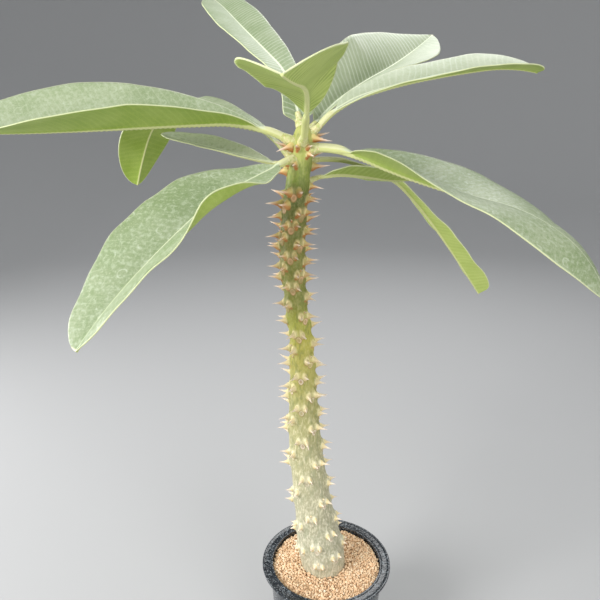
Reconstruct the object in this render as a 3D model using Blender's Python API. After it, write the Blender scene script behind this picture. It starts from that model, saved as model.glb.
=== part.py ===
"""Potted pachypodium: a slender spiny trunk with eleven leaves, standing in a round plastic pot of fine grit.

Metres, +Z up. The origin is the centre of the pot's underside, and the plant's front faces -Y.
Angles are in degrees. An azimuth is counted from +X towards +Y, and a rise from the horizontal upwards.
"""
import math
import random

import bmesh
import bpy
import numpy as np

MM = 0.001
GAP = 0.3 * MM

# Pot: a turned shell with a flat rim, and six drain holes in its floor
POT_HEIGHT = 100 * MM
RIM_RADIUS = 52.5 * MM
RIM_INNER_RADIUS = 44.0 * MM
RIM_THICKNESS = 2.2 * MM
RIM_EDGE = 0.8 * MM
WALL = 2.0 * MM
FLOOR = 2.4 * MM
FLOOR_CORNER = 1.5 * MM
WALL_TOP_RADIUS = 46.4 * MM
WALL_BASE_RADIUS = 40.0 * MM
POT_SIDES = 44
DRAIN_HOLES = 6
DRAIN_RADIUS = 4.0 * MM
DRAIN_CIRCLE = 24.0 * MM
DRAIN_START = 26
DRAIN_SIDES = 16

# Soil: fine grit a little below the rim, gently uneven, rounded down where it meets the wall
SOIL_TOP = 96.5 * MM
SOIL_RINGS = 5
SOIL_LUMP = 0.6 * MM
SOIL_WALL_GAP = 0.5 * MM
SOIL_EDGE_DROP = 1.5 * MM
SOIL_EDGE_WIDTH = 1.3 * MM
ROOT_HOLE_RINGS = 16

# Trunk: height, lean along X and radius at stations from the root's tip to the crown
TRUNK = np.array([
    (40, -1.0, 3.0),
    (60, -1.0, 9.0),
    (84, -1.5, 15.0),
    (97, -2.5, 17.6),
    (110, -4.0, 18.4),
    (148, -10.0, 15.2),
    (182, -14.5, 13.4),
    (217, -18.0, 12.0),
    (250, -19.2, 10.2),
    (292, -20.5, 8.2),
    (325, -24.5, 7.6),
    (357, -27.0, 8.2),
    (395, -25.0, 7.8),
    (428, -20.8, 7.2),
    (438, -20.0, 6.4),
    (446, -19.6, 3.6),
]) * MM
ROOT_TIP, CROWN = TRUNK[0, 0], TRUNK[-1, 0]
TRUNK_SIDES = 18
TRUNK_RING_STEP = 5.2 * MM
# The skin starts to swell this far above the soil, over this height
SWELL_START = 5 * MM
SWELL_RAMP = 6 * MM

# Spine groups: a spiral of three eighths of a turn, so that they stand in eight columns. These are the
# heights of the column in front, in which every eighth group stands
FRONT_COLUMN = np.array([109, 126, 151, 186, 218, 245, 270, 302, 338, 360, 381, 403]) * MM
COLUMNS = 8
FRONT_AZIMUTH = 262
GROUP_TURN = 135
TUBERCLE_HEIGHT = 1.4 * MM
TUBERCLE_WIDTH = 3.8 * MM
TUBERCLE_LENGTH = 5.0 * MM

# Spines: a pair in each group, short at the base and longest and stoutest at the crown
SPINE_LENGTH_AT = {110 * MM: 3.5 * MM, 150 * MM: 5.5 * MM, 190 * MM: 8.5 * MM, 385 * MM: 9.5 * MM,
                   430 * MM: 12.5 * MM}
SPINE_LENGTH_DRAW = (0.88, 1.1)
SPINE_TURN_DRAW = 6
SPINE_RISE_DRAW = 8
SPINE_BASE_RADIUS = 1.6 * MM
STOUT_BASE_RADIUS = 2.2 * MM
STOUT_FROM = 10 * MM
SPINE_ROOT = 2.0 * MM
SPINE_SINK = 0.4 * MM
SPINE_SPACING = 2.8 * MM
SPINE_SPREAD = 20
SPINE_RISE = 8
SPINE_SIDES = 4
# Shares of the length, and of the base radius there, where the swollen foot narrows to the needle
SPINE_TAPER = ((0.12, 0.8), (0.45, 0.33))
SPINE_CLEARANCE = 1.2 * MM
SPINE_BELOW_LEAF = 4 * MM
GUARDED_STRETCH = 50 * MM

# Leaf cushions: the trunk's short stumps that carry the petioles, as shares of the petiole's radius
CUSHION_RADII = (1.1, 1.25, 1.04)
CUSHION_SIDES = 10
CUSHION_DEPTH = 3.5 * MM
CUSHION_BULGE_AT = 0.72
CUSHION_BULGE_BACK = 0.8 * MM

# Leaves: values in a row follow the leaf at even steps from its foot to its tip.
# height, foot and azimuth: where its foot stands on the trunk, foot being the distance from the
# trunk's middle line; turn: how far it swings sideways; shape: exponents of its outline, how it swells
# from the petiole and how it closes at the tip; wave: of its margin; rise: its slope;
# fold: how far each half stands up from the midrib; roll: turn about the midrib, its right side up.
LEAVES = {
    "leaf_01": dict(height=436, foot=8.5, azimuth=189, turn=4, length=202, width=72, petiole=28, stalk=2.7,
                    shape=(0.95, 0.50), wave=1.0, rise=(29, -2, -3, -2, 1), fold=(42, 41, 18), roll=(15, 18, 19)),
    "leaf_02": dict(height=425, foot=8.5, azimuth=228, turn=-2, length=186, width=69, petiole=14, stalk=2.4,
                    shape=(0.65, 0.55), wave=1.0, rise=(-15, -16, -31, -36, -46), fold=(8, 20, 16),
                    roll=(7, 2, -12)),
    "leaf_03": dict(height=425, foot=10.0, azimuth=149, turn=-16, length=210, width=46, petiole=37, stalk=1.9,
                    shape=(1.50, 0.48), wave=1.0, rise=(60, 21, 5, -20, -56, -64), fold=(-5, 1, 18, 4, 30),
                    roll=(-4, -1, -6)),
    "leaf_04": dict(height=420, foot=8.5, azimuth=164, turn=0, length=94, width=27, petiole=9, stalk=1.6,
                    shape=(0.90, 0.57), wave=0.6, rise=(7, 11, 13, 11, 18), fold=(26, 12), roll=(17, 9)),
    "leaf_05": dict(height=446, foot=5.5, azimuth=117, turn=-7, length=221, width=40, petiole=4, stalk=2.2,
                    shape=(0.82, 0.35), wave=1.0, rise=(74, 24, 22, 22, 16), fold=(11, 14), roll=(6, 10)),
    "leaf_06": dict(height=436, foot=9.8, azimuth=272, turn=-13, length=158, width=64, petiole=21, stalk=2.4,
                    shape=(0.54, 0.47), wave=0.6, rise=(75, 25, -4, 0, -4), fold=(31, 32, 15),
                    roll=(3, -12, -10)),
    "leaf_07": dict(height=442, foot=8.0, azimuth=53, turn=-2, length=185, width=69, petiole=14, stalk=2.2,
                    shape=(1.10, 0.84), wave=0.8, rise=(37, 22, 17, 22, 26), fold=(45, 35, 10),
                    roll=(-12, -23, -19)),
    "leaf_08": dict(height=441, foot=8.0, azimuth=13, turn=2, length=172, width=40, petiole=20, stalk=2.1,
                    shape=(0.59, 0.29), wave=0.8, rise=(53, 17, 10, 7, -10), fold=(18, 18, 20),
                    roll=(-18, -13, -13)),
    "leaf_09": dict(height=429, foot=8.5, azimuth=328, turn=-2, length=207, width=70, petiole=28, stalk=2.7,
                    shape=(0.73, 0.78), wave=0.6, rise=(14, -21, -14, -9, -34, -70), fold=(27, 28, 11, -11, -19),
                    roll=(4, 2, -1, 0, -11)),
    "leaf_10": dict(height=423, foot=8.5, azimuth=32, turn=1, length=226, width=28, petiole=36, stalk=1.8,
                    shape=(0.88, 0.20), wave=1.0, rise=(2, -15, -39, -46, -48, -49), fold=(4, 5, 19, 40),
                    roll=(2, 0, -6, 7)),
    "leaf_11": dict(height=410, foot=9.0, azimuth=20, turn=-1, length=82, width=28, petiole=8, stalk=1.6,
                    shape=(0.74, 0.57), wave=0.4, rise=(17, -6, -9, 5), fold=(20, 7), roll=(25, 20)),
}
LEAF_STATION_STEP = 10.5 * MM
FEWEST_STATIONS = 12
BLADE = 0.7 * MM
BLADE_TIP = 1.6 * MM
RIB_TIP = 0.8 * MM
WIDEST_RIB = 0.35
MIDDLE_COLUMN = 0.55
WAVES = 3.2
# The margin's wave fades where a half blade is narrower than this
WAVE_FULL_WIDTH = 8 * MM
# The round petiole opens from this share of its length, over these shares of the leaf and of the petiole
OPENS_FROM = 0.7
OPENS_OVER_LEAF = 0.08
OPENS_OVER_PETIOLE = 0.3


def remove_everything():
    for thing in list(bpy.data.objects):
        bpy.data.objects.remove(thing, do_unlink=True)


def material(name, colour, roughness, metallic=0.0):
    made = bpy.data.materials.new(name)
    made.use_nodes = True
    surface = made.node_tree.nodes["Principled BSDF"]
    surface.inputs["Base Color"].default_value = (*colour, 1)
    surface.inputs["Roughness"].default_value = roughness
    surface.inputs["Metallic"].default_value = metallic
    return made


def add_object(name, mesh, finish=None):
    made = bpy.data.objects.new(name, mesh)
    bpy.context.scene.collection.objects.link(made)
    if finish:
        mesh.materials.append(finish)
    return made


def add_mesh(name, points, faces, finish=None):
    mesh = bpy.data.meshes.new(name)
    mesh.from_pydata([tuple(map(float, p)) for p in points], [], faces)
    mesh.validate()
    return add_object(name, mesh, finish)


def use_boolean(target, operation, cutter=None, collection=None):
    """Applies one Boolean modifier to the target."""
    step = target.modifiers.new(operation.title(), "BOOLEAN")
    step.operation = operation
    step.solver = "EXACT"
    if collection:
        step.operand_type = "COLLECTION"
        step.collection = collection
    else:
        step.object = cutter
    bpy.context.view_layer.objects.active = target
    bpy.ops.object.modifier_apply(modifier=step.name)


def smooth_through(at, stations, values):
    """Values on a smooth curve through stations: cubic steps whose slopes come from the neighbours."""
    slopes = np.gradient(values, stations)
    i = np.clip(np.searchsorted(stations, at) - 1, 0, len(stations) - 2)
    span = stations[i + 1] - stations[i]
    t = (at - stations[i]) / span
    return ((2 * t**3 - 3 * t**2 + 1) * values[i] + (t**3 - 2 * t**2 + t) * span * slopes[i]
            + (3 * t**2 - 2 * t**3) * values[i + 1] + (t**3 - t**2) * span * slopes[i + 1])


def trunk_centre(z):
    lean = smooth_through(z, TRUNK[:, 0], TRUNK[:, 1])
    return np.stack([lean, np.zeros_like(lean), z + np.zeros_like(lean)], -1)


def trunk_radius(z):
    return smooth_through(z, TRUNK[:, 0], TRUNK[:, 2])


def trunk_angles():
    return np.arange(TRUNK_SIDES) * 2 * np.pi / TRUNK_SIDES


def along(shares, values):
    """Values at even steps from the leaf's foot to its tip, read at each share of its length."""
    return np.interp(shares, np.linspace(0, 1, len(values)), values)


def heading(azimuth, rise):
    """Unit vectors that point along an azimuth and a rise given in radians."""
    return np.stack([np.cos(rise) * np.cos(azimuth), np.cos(rise) * np.sin(azimuth),
                     np.sin(rise) * np.ones_like(azimuth)], -1)


def crosswise(way):
    """Two unit vectors square to a direction: one level, and one square to both."""
    way = way / np.linalg.norm(way)
    aside = np.cross(way, (0, 0, 1))
    aside /= np.linalg.norm(aside)
    return aside, np.cross(aside, way)


def ring(centre, radius, aside, above, sides):
    turns = [2 * math.pi * k / sides for k in range(sides)]
    return [centre + radius * (aside * math.cos(turn) + above * math.sin(turn)) for turn in turns]


def ring_faces(rings, sides):
    """Four-sided faces between each ring of points and the next."""
    faces = []
    for i in range(rings - 1):
        for k in range(sides):
            a, b = i * sides + k, i * sides + (k + 1) % sides
            faces.append((a, a + sides, b + sides, b))
    return faces


def turned_shell(name, profile, sides, finish=None):
    """Turns a closed loop of (radius, height) points about Z; a point at radius 0 is a pole."""
    shell = bmesh.new()
    angles = [2 * math.pi * k / sides for k in range(sides)]
    rings = []
    for radius, z in profile:
        if radius == 0:
            rings.append([shell.verts.new((0, 0, z))] * sides)
        else:
            rings.append([shell.verts.new((radius * math.cos(a), radius * math.sin(a), z)) for a in angles])
    for lower, upper in zip(rings, rings[1:]):
        for k in range(sides):
            corners = (lower[k], lower[(k + 1) % sides], upper[(k + 1) % sides], upper[k])
            shell.faces.new(dict.fromkeys(corners))
    bmesh.ops.recalc_face_normals(shell, faces=shell.faces)
    mesh = bpy.data.meshes.new(name)
    shell.to_mesh(mesh)
    shell.free()
    return add_object(name, mesh, finish)


def wall_radius(z, inside):
    """Radius of the pot's wall at a height, on its outer or its inner face."""
    outer = WALL_BASE_RADIUS + (WALL_TOP_RADIUS - WALL_BASE_RADIUS) * z / POT_HEIGHT
    return outer - WALL * inside


def build_pot(finish):
    rim_low = POT_HEIGHT - RIM_THICKNESS
    profile = [
        (0, 0),
        (wall_radius(0, 0) - FLOOR_CORNER, 0),
        (wall_radius(0, 0), FLOOR_CORNER),
        (wall_radius(rim_low, 0), rim_low - RIM_EDGE),
        (wall_radius(rim_low, 0) + RIM_EDGE, rim_low),
        (RIM_RADIUS - RIM_EDGE, rim_low),
        (RIM_RADIUS, rim_low + RIM_EDGE),
        (RIM_RADIUS, POT_HEIGHT - RIM_EDGE),
        (RIM_RADIUS - RIM_EDGE, POT_HEIGHT),
        (RIM_INNER_RADIUS + RIM_EDGE, POT_HEIGHT),
        (RIM_INNER_RADIUS, POT_HEIGHT - RIM_EDGE),
        (wall_radius(rim_low, 1), rim_low - 2 * RIM_EDGE),
        (wall_radius(FLOOR, 1), FLOOR),
        (0, FLOOR),
    ]
    pot = turned_shell("pot", profile, POT_SIDES, finish)
    for k in range(DRAIN_HOLES):
        angle = math.radians(DRAIN_START + 360 * k / DRAIN_HOLES)
        cutter = turned_shell("drain_cutter", [(0, -FLOOR), (DRAIN_RADIUS, -FLOOR),
                                               (DRAIN_RADIUS, 2 * FLOOR), (0, 2 * FLOOR)], DRAIN_SIDES)
        cutter.location = (DRAIN_CIRCLE * math.cos(angle), DRAIN_CIRCLE * math.sin(angle), 0)
        bpy.context.view_layer.update()
        use_boolean(pot, "DIFFERENCE", cutter)
        bpy.data.objects.remove(cutter)
    return pot


def tube(centres, radii, angles):
    """Points and faces of a closed upright tube: level rings of triangles, and a fan at each end."""
    count = len(angles)
    level = np.stack([np.cos(angles), np.sin(angles), np.zeros(count)], 1)
    points = (centres[:, None] + radii[..., None] * level[None]).reshape(-1, 3).tolist()
    rings = len(centres)
    faces = []
    for i in range(rings - 1):
        for k in range(count):
            a, b = i * count + k, i * count + (k + 1) % count
            faces += [(a, b, b + count), (a, b + count, a + count)]
    first, last = len(points), len(points) + 1
    points += [centres[0].tolist(), centres[-1].tolist()]
    top = (rings - 1) * count
    for k in range(count):
        after = (k + 1) % count
        faces += [(first, after, k), (last, top + k, top + after)]
    return points, faces


def soil_lumps(x, y):
    """Two crossing waves over the soil's top, x and y in metres."""
    return math.sin(x * 170 + 1) * math.cos(y * 210) + 0.6 * math.sin(x * 390 + y * 310)


def build_soil(finish):
    """A disc of grit down to the pot's floor, with a plain hole for the root."""
    bottom = FLOOR + GAP
    edge = min(wall_radius(SOIL_TOP, 1), RIM_INNER_RADIUS) - SOIL_WALL_GAP
    profile = [(0, bottom), (wall_radius(bottom, 1) - GAP, bottom), (edge, SOIL_TOP - SOIL_EDGE_DROP)]
    for step in range(SOIL_RINGS, -1, -1):
        profile.append(((edge - SOIL_EDGE_WIDTH) * step / SOIL_RINGS, SOIL_TOP))
    soil = turned_shell("soil", profile, POT_SIDES, finish)
    for vertex in soil.data.vertices:
        if vertex.co.z > SOIL_TOP - SOIL_EDGE_DROP / 2:
            vertex.co.z += SOIL_LUMP * soil_lumps(vertex.co.x, vertex.co.y)

    heights = np.linspace(ROOT_TIP - GAP, SOIL_TOP + SWELL_START, ROOT_HOLE_RINGS)
    inner = np.clip(heights, ROOT_TIP, None)
    centres = trunk_centre(inner)
    centres[:, 2] = heights
    radii = np.repeat((trunk_radius(inner) + GAP)[:, None], TRUNK_SIDES, 1)
    hole = add_mesh("root_hole_cutter", *tube(centres, radii, trunk_angles()))
    use_boolean(soil, "DIFFERENCE", hole)
    bpy.data.objects.remove(hole)
    return soil


def spine_groups():
    """Height and azimuth of each group, in steps of an eighth of the front column's own."""
    number = np.arange(COLUMNS * (len(FRONT_COLUMN) - 1) + 1)
    heights = np.interp(number / COLUMNS, np.arange(len(FRONT_COLUMN)), FRONT_COLUMN)
    azimuths = (FRONT_AZIMUTH + GROUP_TURN * number) % 360
    return list(zip(heights.tolist(), azimuths.tolist()))


def tubercle_swell(z, azimuth, groups):
    """How far the skin stands out: one smooth bump for each group."""
    swell = np.zeros(np.broadcast(z, azimuth).shape)
    for height, turn in groups:
        apart = (np.degrees(azimuth) - turn + 180) % 360 - 180
        sideways = np.radians(apart) * trunk_radius(np.array(height))
        swell += np.exp(-(sideways / TUBERCLE_WIDTH) ** 2 - ((z - height) / TUBERCLE_LENGTH) ** 2)
    return TUBERCLE_HEIGHT * np.clip(swell, 0, 1.1)


def midrib(leaf, shares):
    """Points, directions and azimuths along the midrib: a walk that follows the leaf's rise and turn."""
    rise = np.radians(along(shares, leaf["rise"]))
    azimuth = np.radians(leaf["azimuth"] + leaf["turn"] * shares)
    forward = heading(azimuth, rise)
    steps = np.diff(shares)[:, None] * leaf["length"] * MM * (forward[1:] + forward[:-1]) / 2
    foot = trunk_centre(np.array(leaf["height"] * MM)) + leaf["foot"] * MM * heading(azimuth[0], 0.0)
    return foot + np.vstack([np.zeros(3), np.cumsum(steps, 0)]), forward, azimuth


def half_width(leaf, shares):
    """Half the blade's width: none on the petiole, widest past the middle, blunt at the tip."""
    petiole = leaf["petiole"] / leaf["length"]
    t = np.clip((shares - petiole) / (1 - petiole), 0, 1)
    swell, close = leaf["shape"]
    widest = swell / (swell + close)
    peak = widest**swell * (1 - widest)**close
    return leaf["width"] * MM / 2 * t**swell * (1 - t)**close / peak


def leaf_axes(leaf, shares):
    """The midrib's points, and the leaf's own right and up there, turned about the midrib by its roll."""
    centre, forward, azimuth = midrib(leaf, shares)
    right = np.stack([np.sin(azimuth), -np.cos(azimuth), 0 * azimuth], -1)
    up = np.cross(right, forward)
    roll = np.radians(along(shares, leaf["roll"]))[:, None]
    return centre, right * np.cos(roll) + up * np.sin(roll), up * np.cos(roll) - right * np.sin(roll)


def blade_sections(leaf, shares):
    """Seven points across the blade's upper face and seven below them, as (right, up) at each station.

    Each half stands up by the fold, its margin waves, and the rib stands out under the middle.
    """
    fold = np.radians(along(shares, leaf["fold"]))[:, None]
    width = np.maximum(half_width(leaf, shares), BLADE_TIP)[:, None]
    stalk = (leaf["stalk"] * MM * (1 - shares) + RIB_TIP * shares)[:, None]
    rib = np.minimum(stalk, WIDEST_RIB * width)
    side = np.array([[-1, -1, -1, 0, 1, 1, 1]])
    reach = np.hstack([width, MIDDLE_COLUMN * width, rib, 0 * rib, rib, MIDDLE_COLUMN * width, width])
    ripple = leaf["wave"] * MM * np.sin(2 * np.pi * WAVES * shares[:, None] + side)
    lift = reach * np.sin(fold) + ripple * (reach / width)**2 * np.minimum(1, width / WAVE_FULL_WIDTH)
    across = reach * np.cos(fold) * side
    under = np.full_like(reach, BLADE)
    under[:, 3:4] = BLADE / np.cos(fold) + stalk
    tilt = fold * side
    upper = np.stack([across, lift], -1)
    lower = np.stack([across + under * np.sin(tilt), lift - under * np.cos(tilt)], -1)
    return upper, lower


def petiole_section(leaf, columns):
    """The round petiole as the same number of points over its top, from left to right."""
    turn = np.radians(180 - (np.arange(columns) + 0.5) * 180 / columns)
    return leaf["stalk"] * MM * np.stack([np.cos(turn), np.sin(turn)], -1)[None]


def leaf_mesh(leaf):
    """A round petiole that opens into a thin folded blade, each face split into triangles alike."""
    stations = max(FEWEST_STATIONS, round(leaf["length"] * MM / LEAF_STATION_STEP))
    shares = np.linspace(0, 1, stations)
    upper, lower = blade_sections(leaf, shares)
    columns = upper.shape[1]
    circle = petiole_section(leaf, columns)
    petiole = leaf["petiole"] / leaf["length"]
    opened = (shares - OPENS_FROM * petiole) / (OPENS_OVER_LEAF + OPENS_OVER_PETIOLE * petiole)
    opened = np.clip(opened, 0, 1)
    opened = (opened**2 * (3 - 2 * opened))[:, None, None]
    upper = circle * (1 - opened) + upper * opened
    lower = circle * (1, -1) * (1 - opened) + lower * opened
    section = np.concatenate([upper, lower], 1)
    centre, right, up = leaf_axes(leaf, shares)
    points = centre[:, None] + section[..., :1] * right[:, None] + section[..., 1:] * up[:, None]
    return points.reshape(-1, 3), leaf_faces(stations, columns)


def leaf_faces(stations, columns):
    """Triangles of both faces, the two margins and the two ends."""
    row = 2 * columns

    def corner(i, j, below):
        return i * row + j + columns * below

    faces = []
    for i in range(stations - 1):
        for j in range(columns - 1):
            for below in (0, 1):
                a, b = corner(i, j, below), corner(i + 1, j, below)
                c, d = corner(i + 1, j + 1, below), corner(i, j + 1, below)
                faces += [(a, c, d), (a, b, c)] if below else [(a, d, c), (a, c, b)]
        for j in (0, columns - 1):
            a, b = corner(i, j, 0), corner(i + 1, j, 0)
            c, d = corner(i + 1, j, 1), corner(i, j, 1)
            faces += [(a, c, b), (a, d, c)] if j else [(a, b, c), (a, c, d)]
    last = (stations - 1) * row
    for j in range(columns - 1):
        a, b, c, d = corner(0, j, 0), corner(0, j + 1, 0), corner(0, j + 1, 1), corner(0, j, 1)
        faces += [(a, d, c), (a, c, b)]
        faces += [(a + last, b + last, c + last), (a + last, c + last, d + last)]
    return faces


def move_to(collection, thing):
    bpy.context.scene.collection.objects.unlink(thing)
    collection.objects.link(thing)


def add_spine(foot, towards, length, base_radius, collection):
    """A swollen foot that narrows fast to a slim needle, with its root sunk in the trunk."""
    aside, above = crosswise(towards)
    points = ring(foot - towards * SPINE_ROOT, base_radius, aside, above, SPINE_SIDES)
    for distance, radius in SPINE_TAPER:
        points += ring(foot + towards * distance * length, radius * base_radius, aside, above, SPINE_SIDES)
    tip = len(points)
    points.append(foot + towards * length)
    rings = 1 + len(SPINE_TAPER)
    faces = [tuple(range(SPINE_SIDES))] + ring_faces(rings, SPINE_SIDES)
    top = (rings - 1) * SPINE_SIDES
    for k in range(SPINE_SIDES):
        faces.append((top + k, tip, top + (k + 1) % SPINE_SIDES))
    move_to(collection, add_mesh("spine", points, faces))


def petiole_lines():
    """The first stretch of each leaf, as points and half widths, which no spine may touch."""
    lines = []
    for leaf in LEAVES.values():
        shares = np.linspace(0, 1, 121)
        near = shares * leaf["length"] * MM < GUARDED_STRETCH
        reach = np.maximum(leaf["stalk"] * MM, 0.9 * half_width(leaf, shares))
        lines.append((midrib(leaf, shares)[0][near], reach[near]))
    return lines


def hits_a_leaf(foot, tip, lines):
    needle = foot + np.linspace(0, 1, 9)[:, None] * (tip - foot)
    for points, reach in lines:
        apart = np.linalg.norm(needle[:, None] - points[None], axis=2) - reach[None]
        if apart.min() < SPINE_CLEARANCE:
            return True
    return False


def add_spine_pair(z, azimuth, groups, lines, draw, collection):
    """Two spines side by side that spread outwards; one that would touch a leaf is left out."""
    radius = float(trunk_radius(np.array(z)))
    usual = np.interp(z, list(SPINE_LENGTH_AT), list(SPINE_LENGTH_AT.values()))
    for side in (-1, 1):
        turn = math.radians(azimuth) + side * SPINE_SPACING / radius
        swell = float(tubercle_swell(np.array(z), np.array(turn), groups))
        foot = trunk_centre(np.array(z)) + heading(np.array(turn), 0.0) * (radius + swell - SPINE_SINK)
        spread = SPINE_SPREAD + draw.uniform(-SPINE_TURN_DRAW, SPINE_TURN_DRAW)
        rise = SPINE_RISE + draw.uniform(-SPINE_RISE_DRAW, SPINE_RISE_DRAW)
        length = float(usual) * draw.uniform(*SPINE_LENGTH_DRAW)
        towards = heading(np.array(turn + side * math.radians(spread)), math.radians(rise))
        if not hits_a_leaf(foot, foot + towards * length, lines):
            base = STOUT_BASE_RADIUS if length > STOUT_FROM else SPINE_BASE_RADIUS
            add_spine(foot, towards, length, base, collection)


def add_leaf_cushion(leaf, collection):
    """The stump from the trunk's heart to just short of the petiole, swollen before its end."""
    foot, forward, _ = midrib(leaf, np.linspace(0, 1, 2))
    end = foot[0] - forward[0] * GAP
    heart = trunk_centre(np.array(leaf["height"] * MM - CUSHION_DEPTH))
    bulge = heart + (end - heart) * CUSHION_BULGE_AT - forward[0] * CUSHION_BULGE_BACK
    ways = (foot[0] - heart, forward[0], forward[0])
    points = []
    for centre, way, share in zip((heart, bulge, end), ways, CUSHION_RADII):
        points += ring(centre, leaf["stalk"] * MM * share, *crosswise(way), CUSHION_SIDES)
    ends = [tuple(range(CUSHION_SIDES)), tuple(range(3 * CUSHION_SIDES - 1, 2 * CUSHION_SIDES - 1, -1))]
    move_to(collection, add_mesh("cushion", points, ends + ring_faces(3, CUSHION_SIDES)))


def build_trunk(finish):
    groups = spine_groups()
    heights = np.linspace(ROOT_TIP, CROWN, int((CROWN - ROOT_TIP) / TRUNK_RING_STEP))
    angles = trunk_angles()
    bare = np.clip((heights - SOIL_TOP - SWELL_START) / SWELL_RAMP, 0, 1)[:, None]
    radii = trunk_radius(heights)[:, None] + bare * tubercle_swell(heights[:, None], angles[None], groups)
    trunk = add_mesh("trunk", *tube(trunk_centre(heights), radii, angles), finish)

    growth = bpy.data.collections.new("growth")
    bpy.context.scene.collection.children.link(growth)
    draw = random.Random(11)
    lines = petiole_lines()
    for z, azimuth in groups:
        add_spine_pair(z, azimuth, groups, lines, draw, growth)
    for leaf in LEAVES.values():
        add_spine_pair(leaf["height"] * MM - SPINE_BELOW_LEAF, leaf["azimuth"], groups, lines, draw, growth)
        add_leaf_cushion(leaf, growth)
    use_boolean(trunk, "UNION", collection=growth)
    for grown in list(growth.objects):
        bpy.data.objects.remove(grown)
    bpy.data.collections.remove(growth)
    return trunk


def build_leaves(finish):
    for name, leaf in LEAVES.items():
        points, faces = leaf_mesh(leaf)
        add_mesh(name, points, faces, finish)


def shade_round():
    for thing in bpy.data.objects:
        thing.data.shade_smooth()
        thing.data.set_sharp_from_angle(angle=math.radians(35))


remove_everything()
build_pot(material("black_plastic", (0.012, 0.014, 0.017), 0.25))
build_soil(material("tan_grit", (0.52, 0.33, 0.19), 0.95))
build_trunk(material("green_bark", (0.30, 0.33, 0.15), 0.6))
build_leaves(material("leaf_green", (0.24, 0.38, 0.12), 0.5))
shade_round()
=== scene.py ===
"""Looks of a potted pachypodium: its pot, the grit in it, the spiny trunk and eleven leaves.

Metres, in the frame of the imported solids: +Z up, the origin under the middle of the pot, the plant's
front towards -Y. Angles are in degrees; an azimuth is counted from +X towards +Y, and a rise from the
horizontal upwards.
"""
import itertools
import random

import bpy
import numpy as np
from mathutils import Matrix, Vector


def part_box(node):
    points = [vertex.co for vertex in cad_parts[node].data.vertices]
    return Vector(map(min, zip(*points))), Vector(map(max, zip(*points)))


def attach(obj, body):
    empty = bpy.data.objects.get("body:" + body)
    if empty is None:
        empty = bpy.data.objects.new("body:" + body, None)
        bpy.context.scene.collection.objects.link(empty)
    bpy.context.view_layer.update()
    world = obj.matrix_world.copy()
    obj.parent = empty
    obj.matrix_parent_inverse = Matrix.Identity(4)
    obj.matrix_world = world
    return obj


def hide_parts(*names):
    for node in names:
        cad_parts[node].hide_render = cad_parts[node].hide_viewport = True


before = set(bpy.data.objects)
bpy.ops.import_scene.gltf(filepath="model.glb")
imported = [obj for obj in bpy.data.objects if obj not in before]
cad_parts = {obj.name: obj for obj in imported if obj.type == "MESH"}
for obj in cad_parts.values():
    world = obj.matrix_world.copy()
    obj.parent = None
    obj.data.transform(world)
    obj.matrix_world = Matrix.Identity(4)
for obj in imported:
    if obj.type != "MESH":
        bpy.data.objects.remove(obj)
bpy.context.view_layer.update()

# The pot is one thin moulding of glossy black plastic: a tapered wall, a flat floor with six drain
# holes, and a broad rim whose two edges are rounded beads. It stands free and carries all the rest.
MM = 0.001
POT_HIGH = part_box("pot")[1]
POT_TOP = POT_HIGH.z
RIM_RADIUS = POT_HIGH.x
RIM_INNER_RADIUS = 44.0 * MM
RIM_THICKNESS = 2.2 * MM
RIM_BEAD = 1.5 * MM
RIM_DISH = 0.5 * MM
WALL = 2.0 * MM
FLOOR = 2.4 * MM
WALL_TOP_RADIUS = 46.4 * MM
WALL_BASE_RADIUS = 40.0 * MM
DRAIN_HOLES = 6
DRAIN_RADIUS = 4.0 * MM
DRAIN_CIRCLE = 24.0 * MM
DRAIN_START = 26
DRAIN_SIDES = 32
DRAIN_CREASE = 40
POT_SIDES = 200
POT_BLACK = (0.010, 0.013, 0.017)
POT_DUST_AND_REFLECTION = (0.30, 0.34, 0.37)


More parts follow.
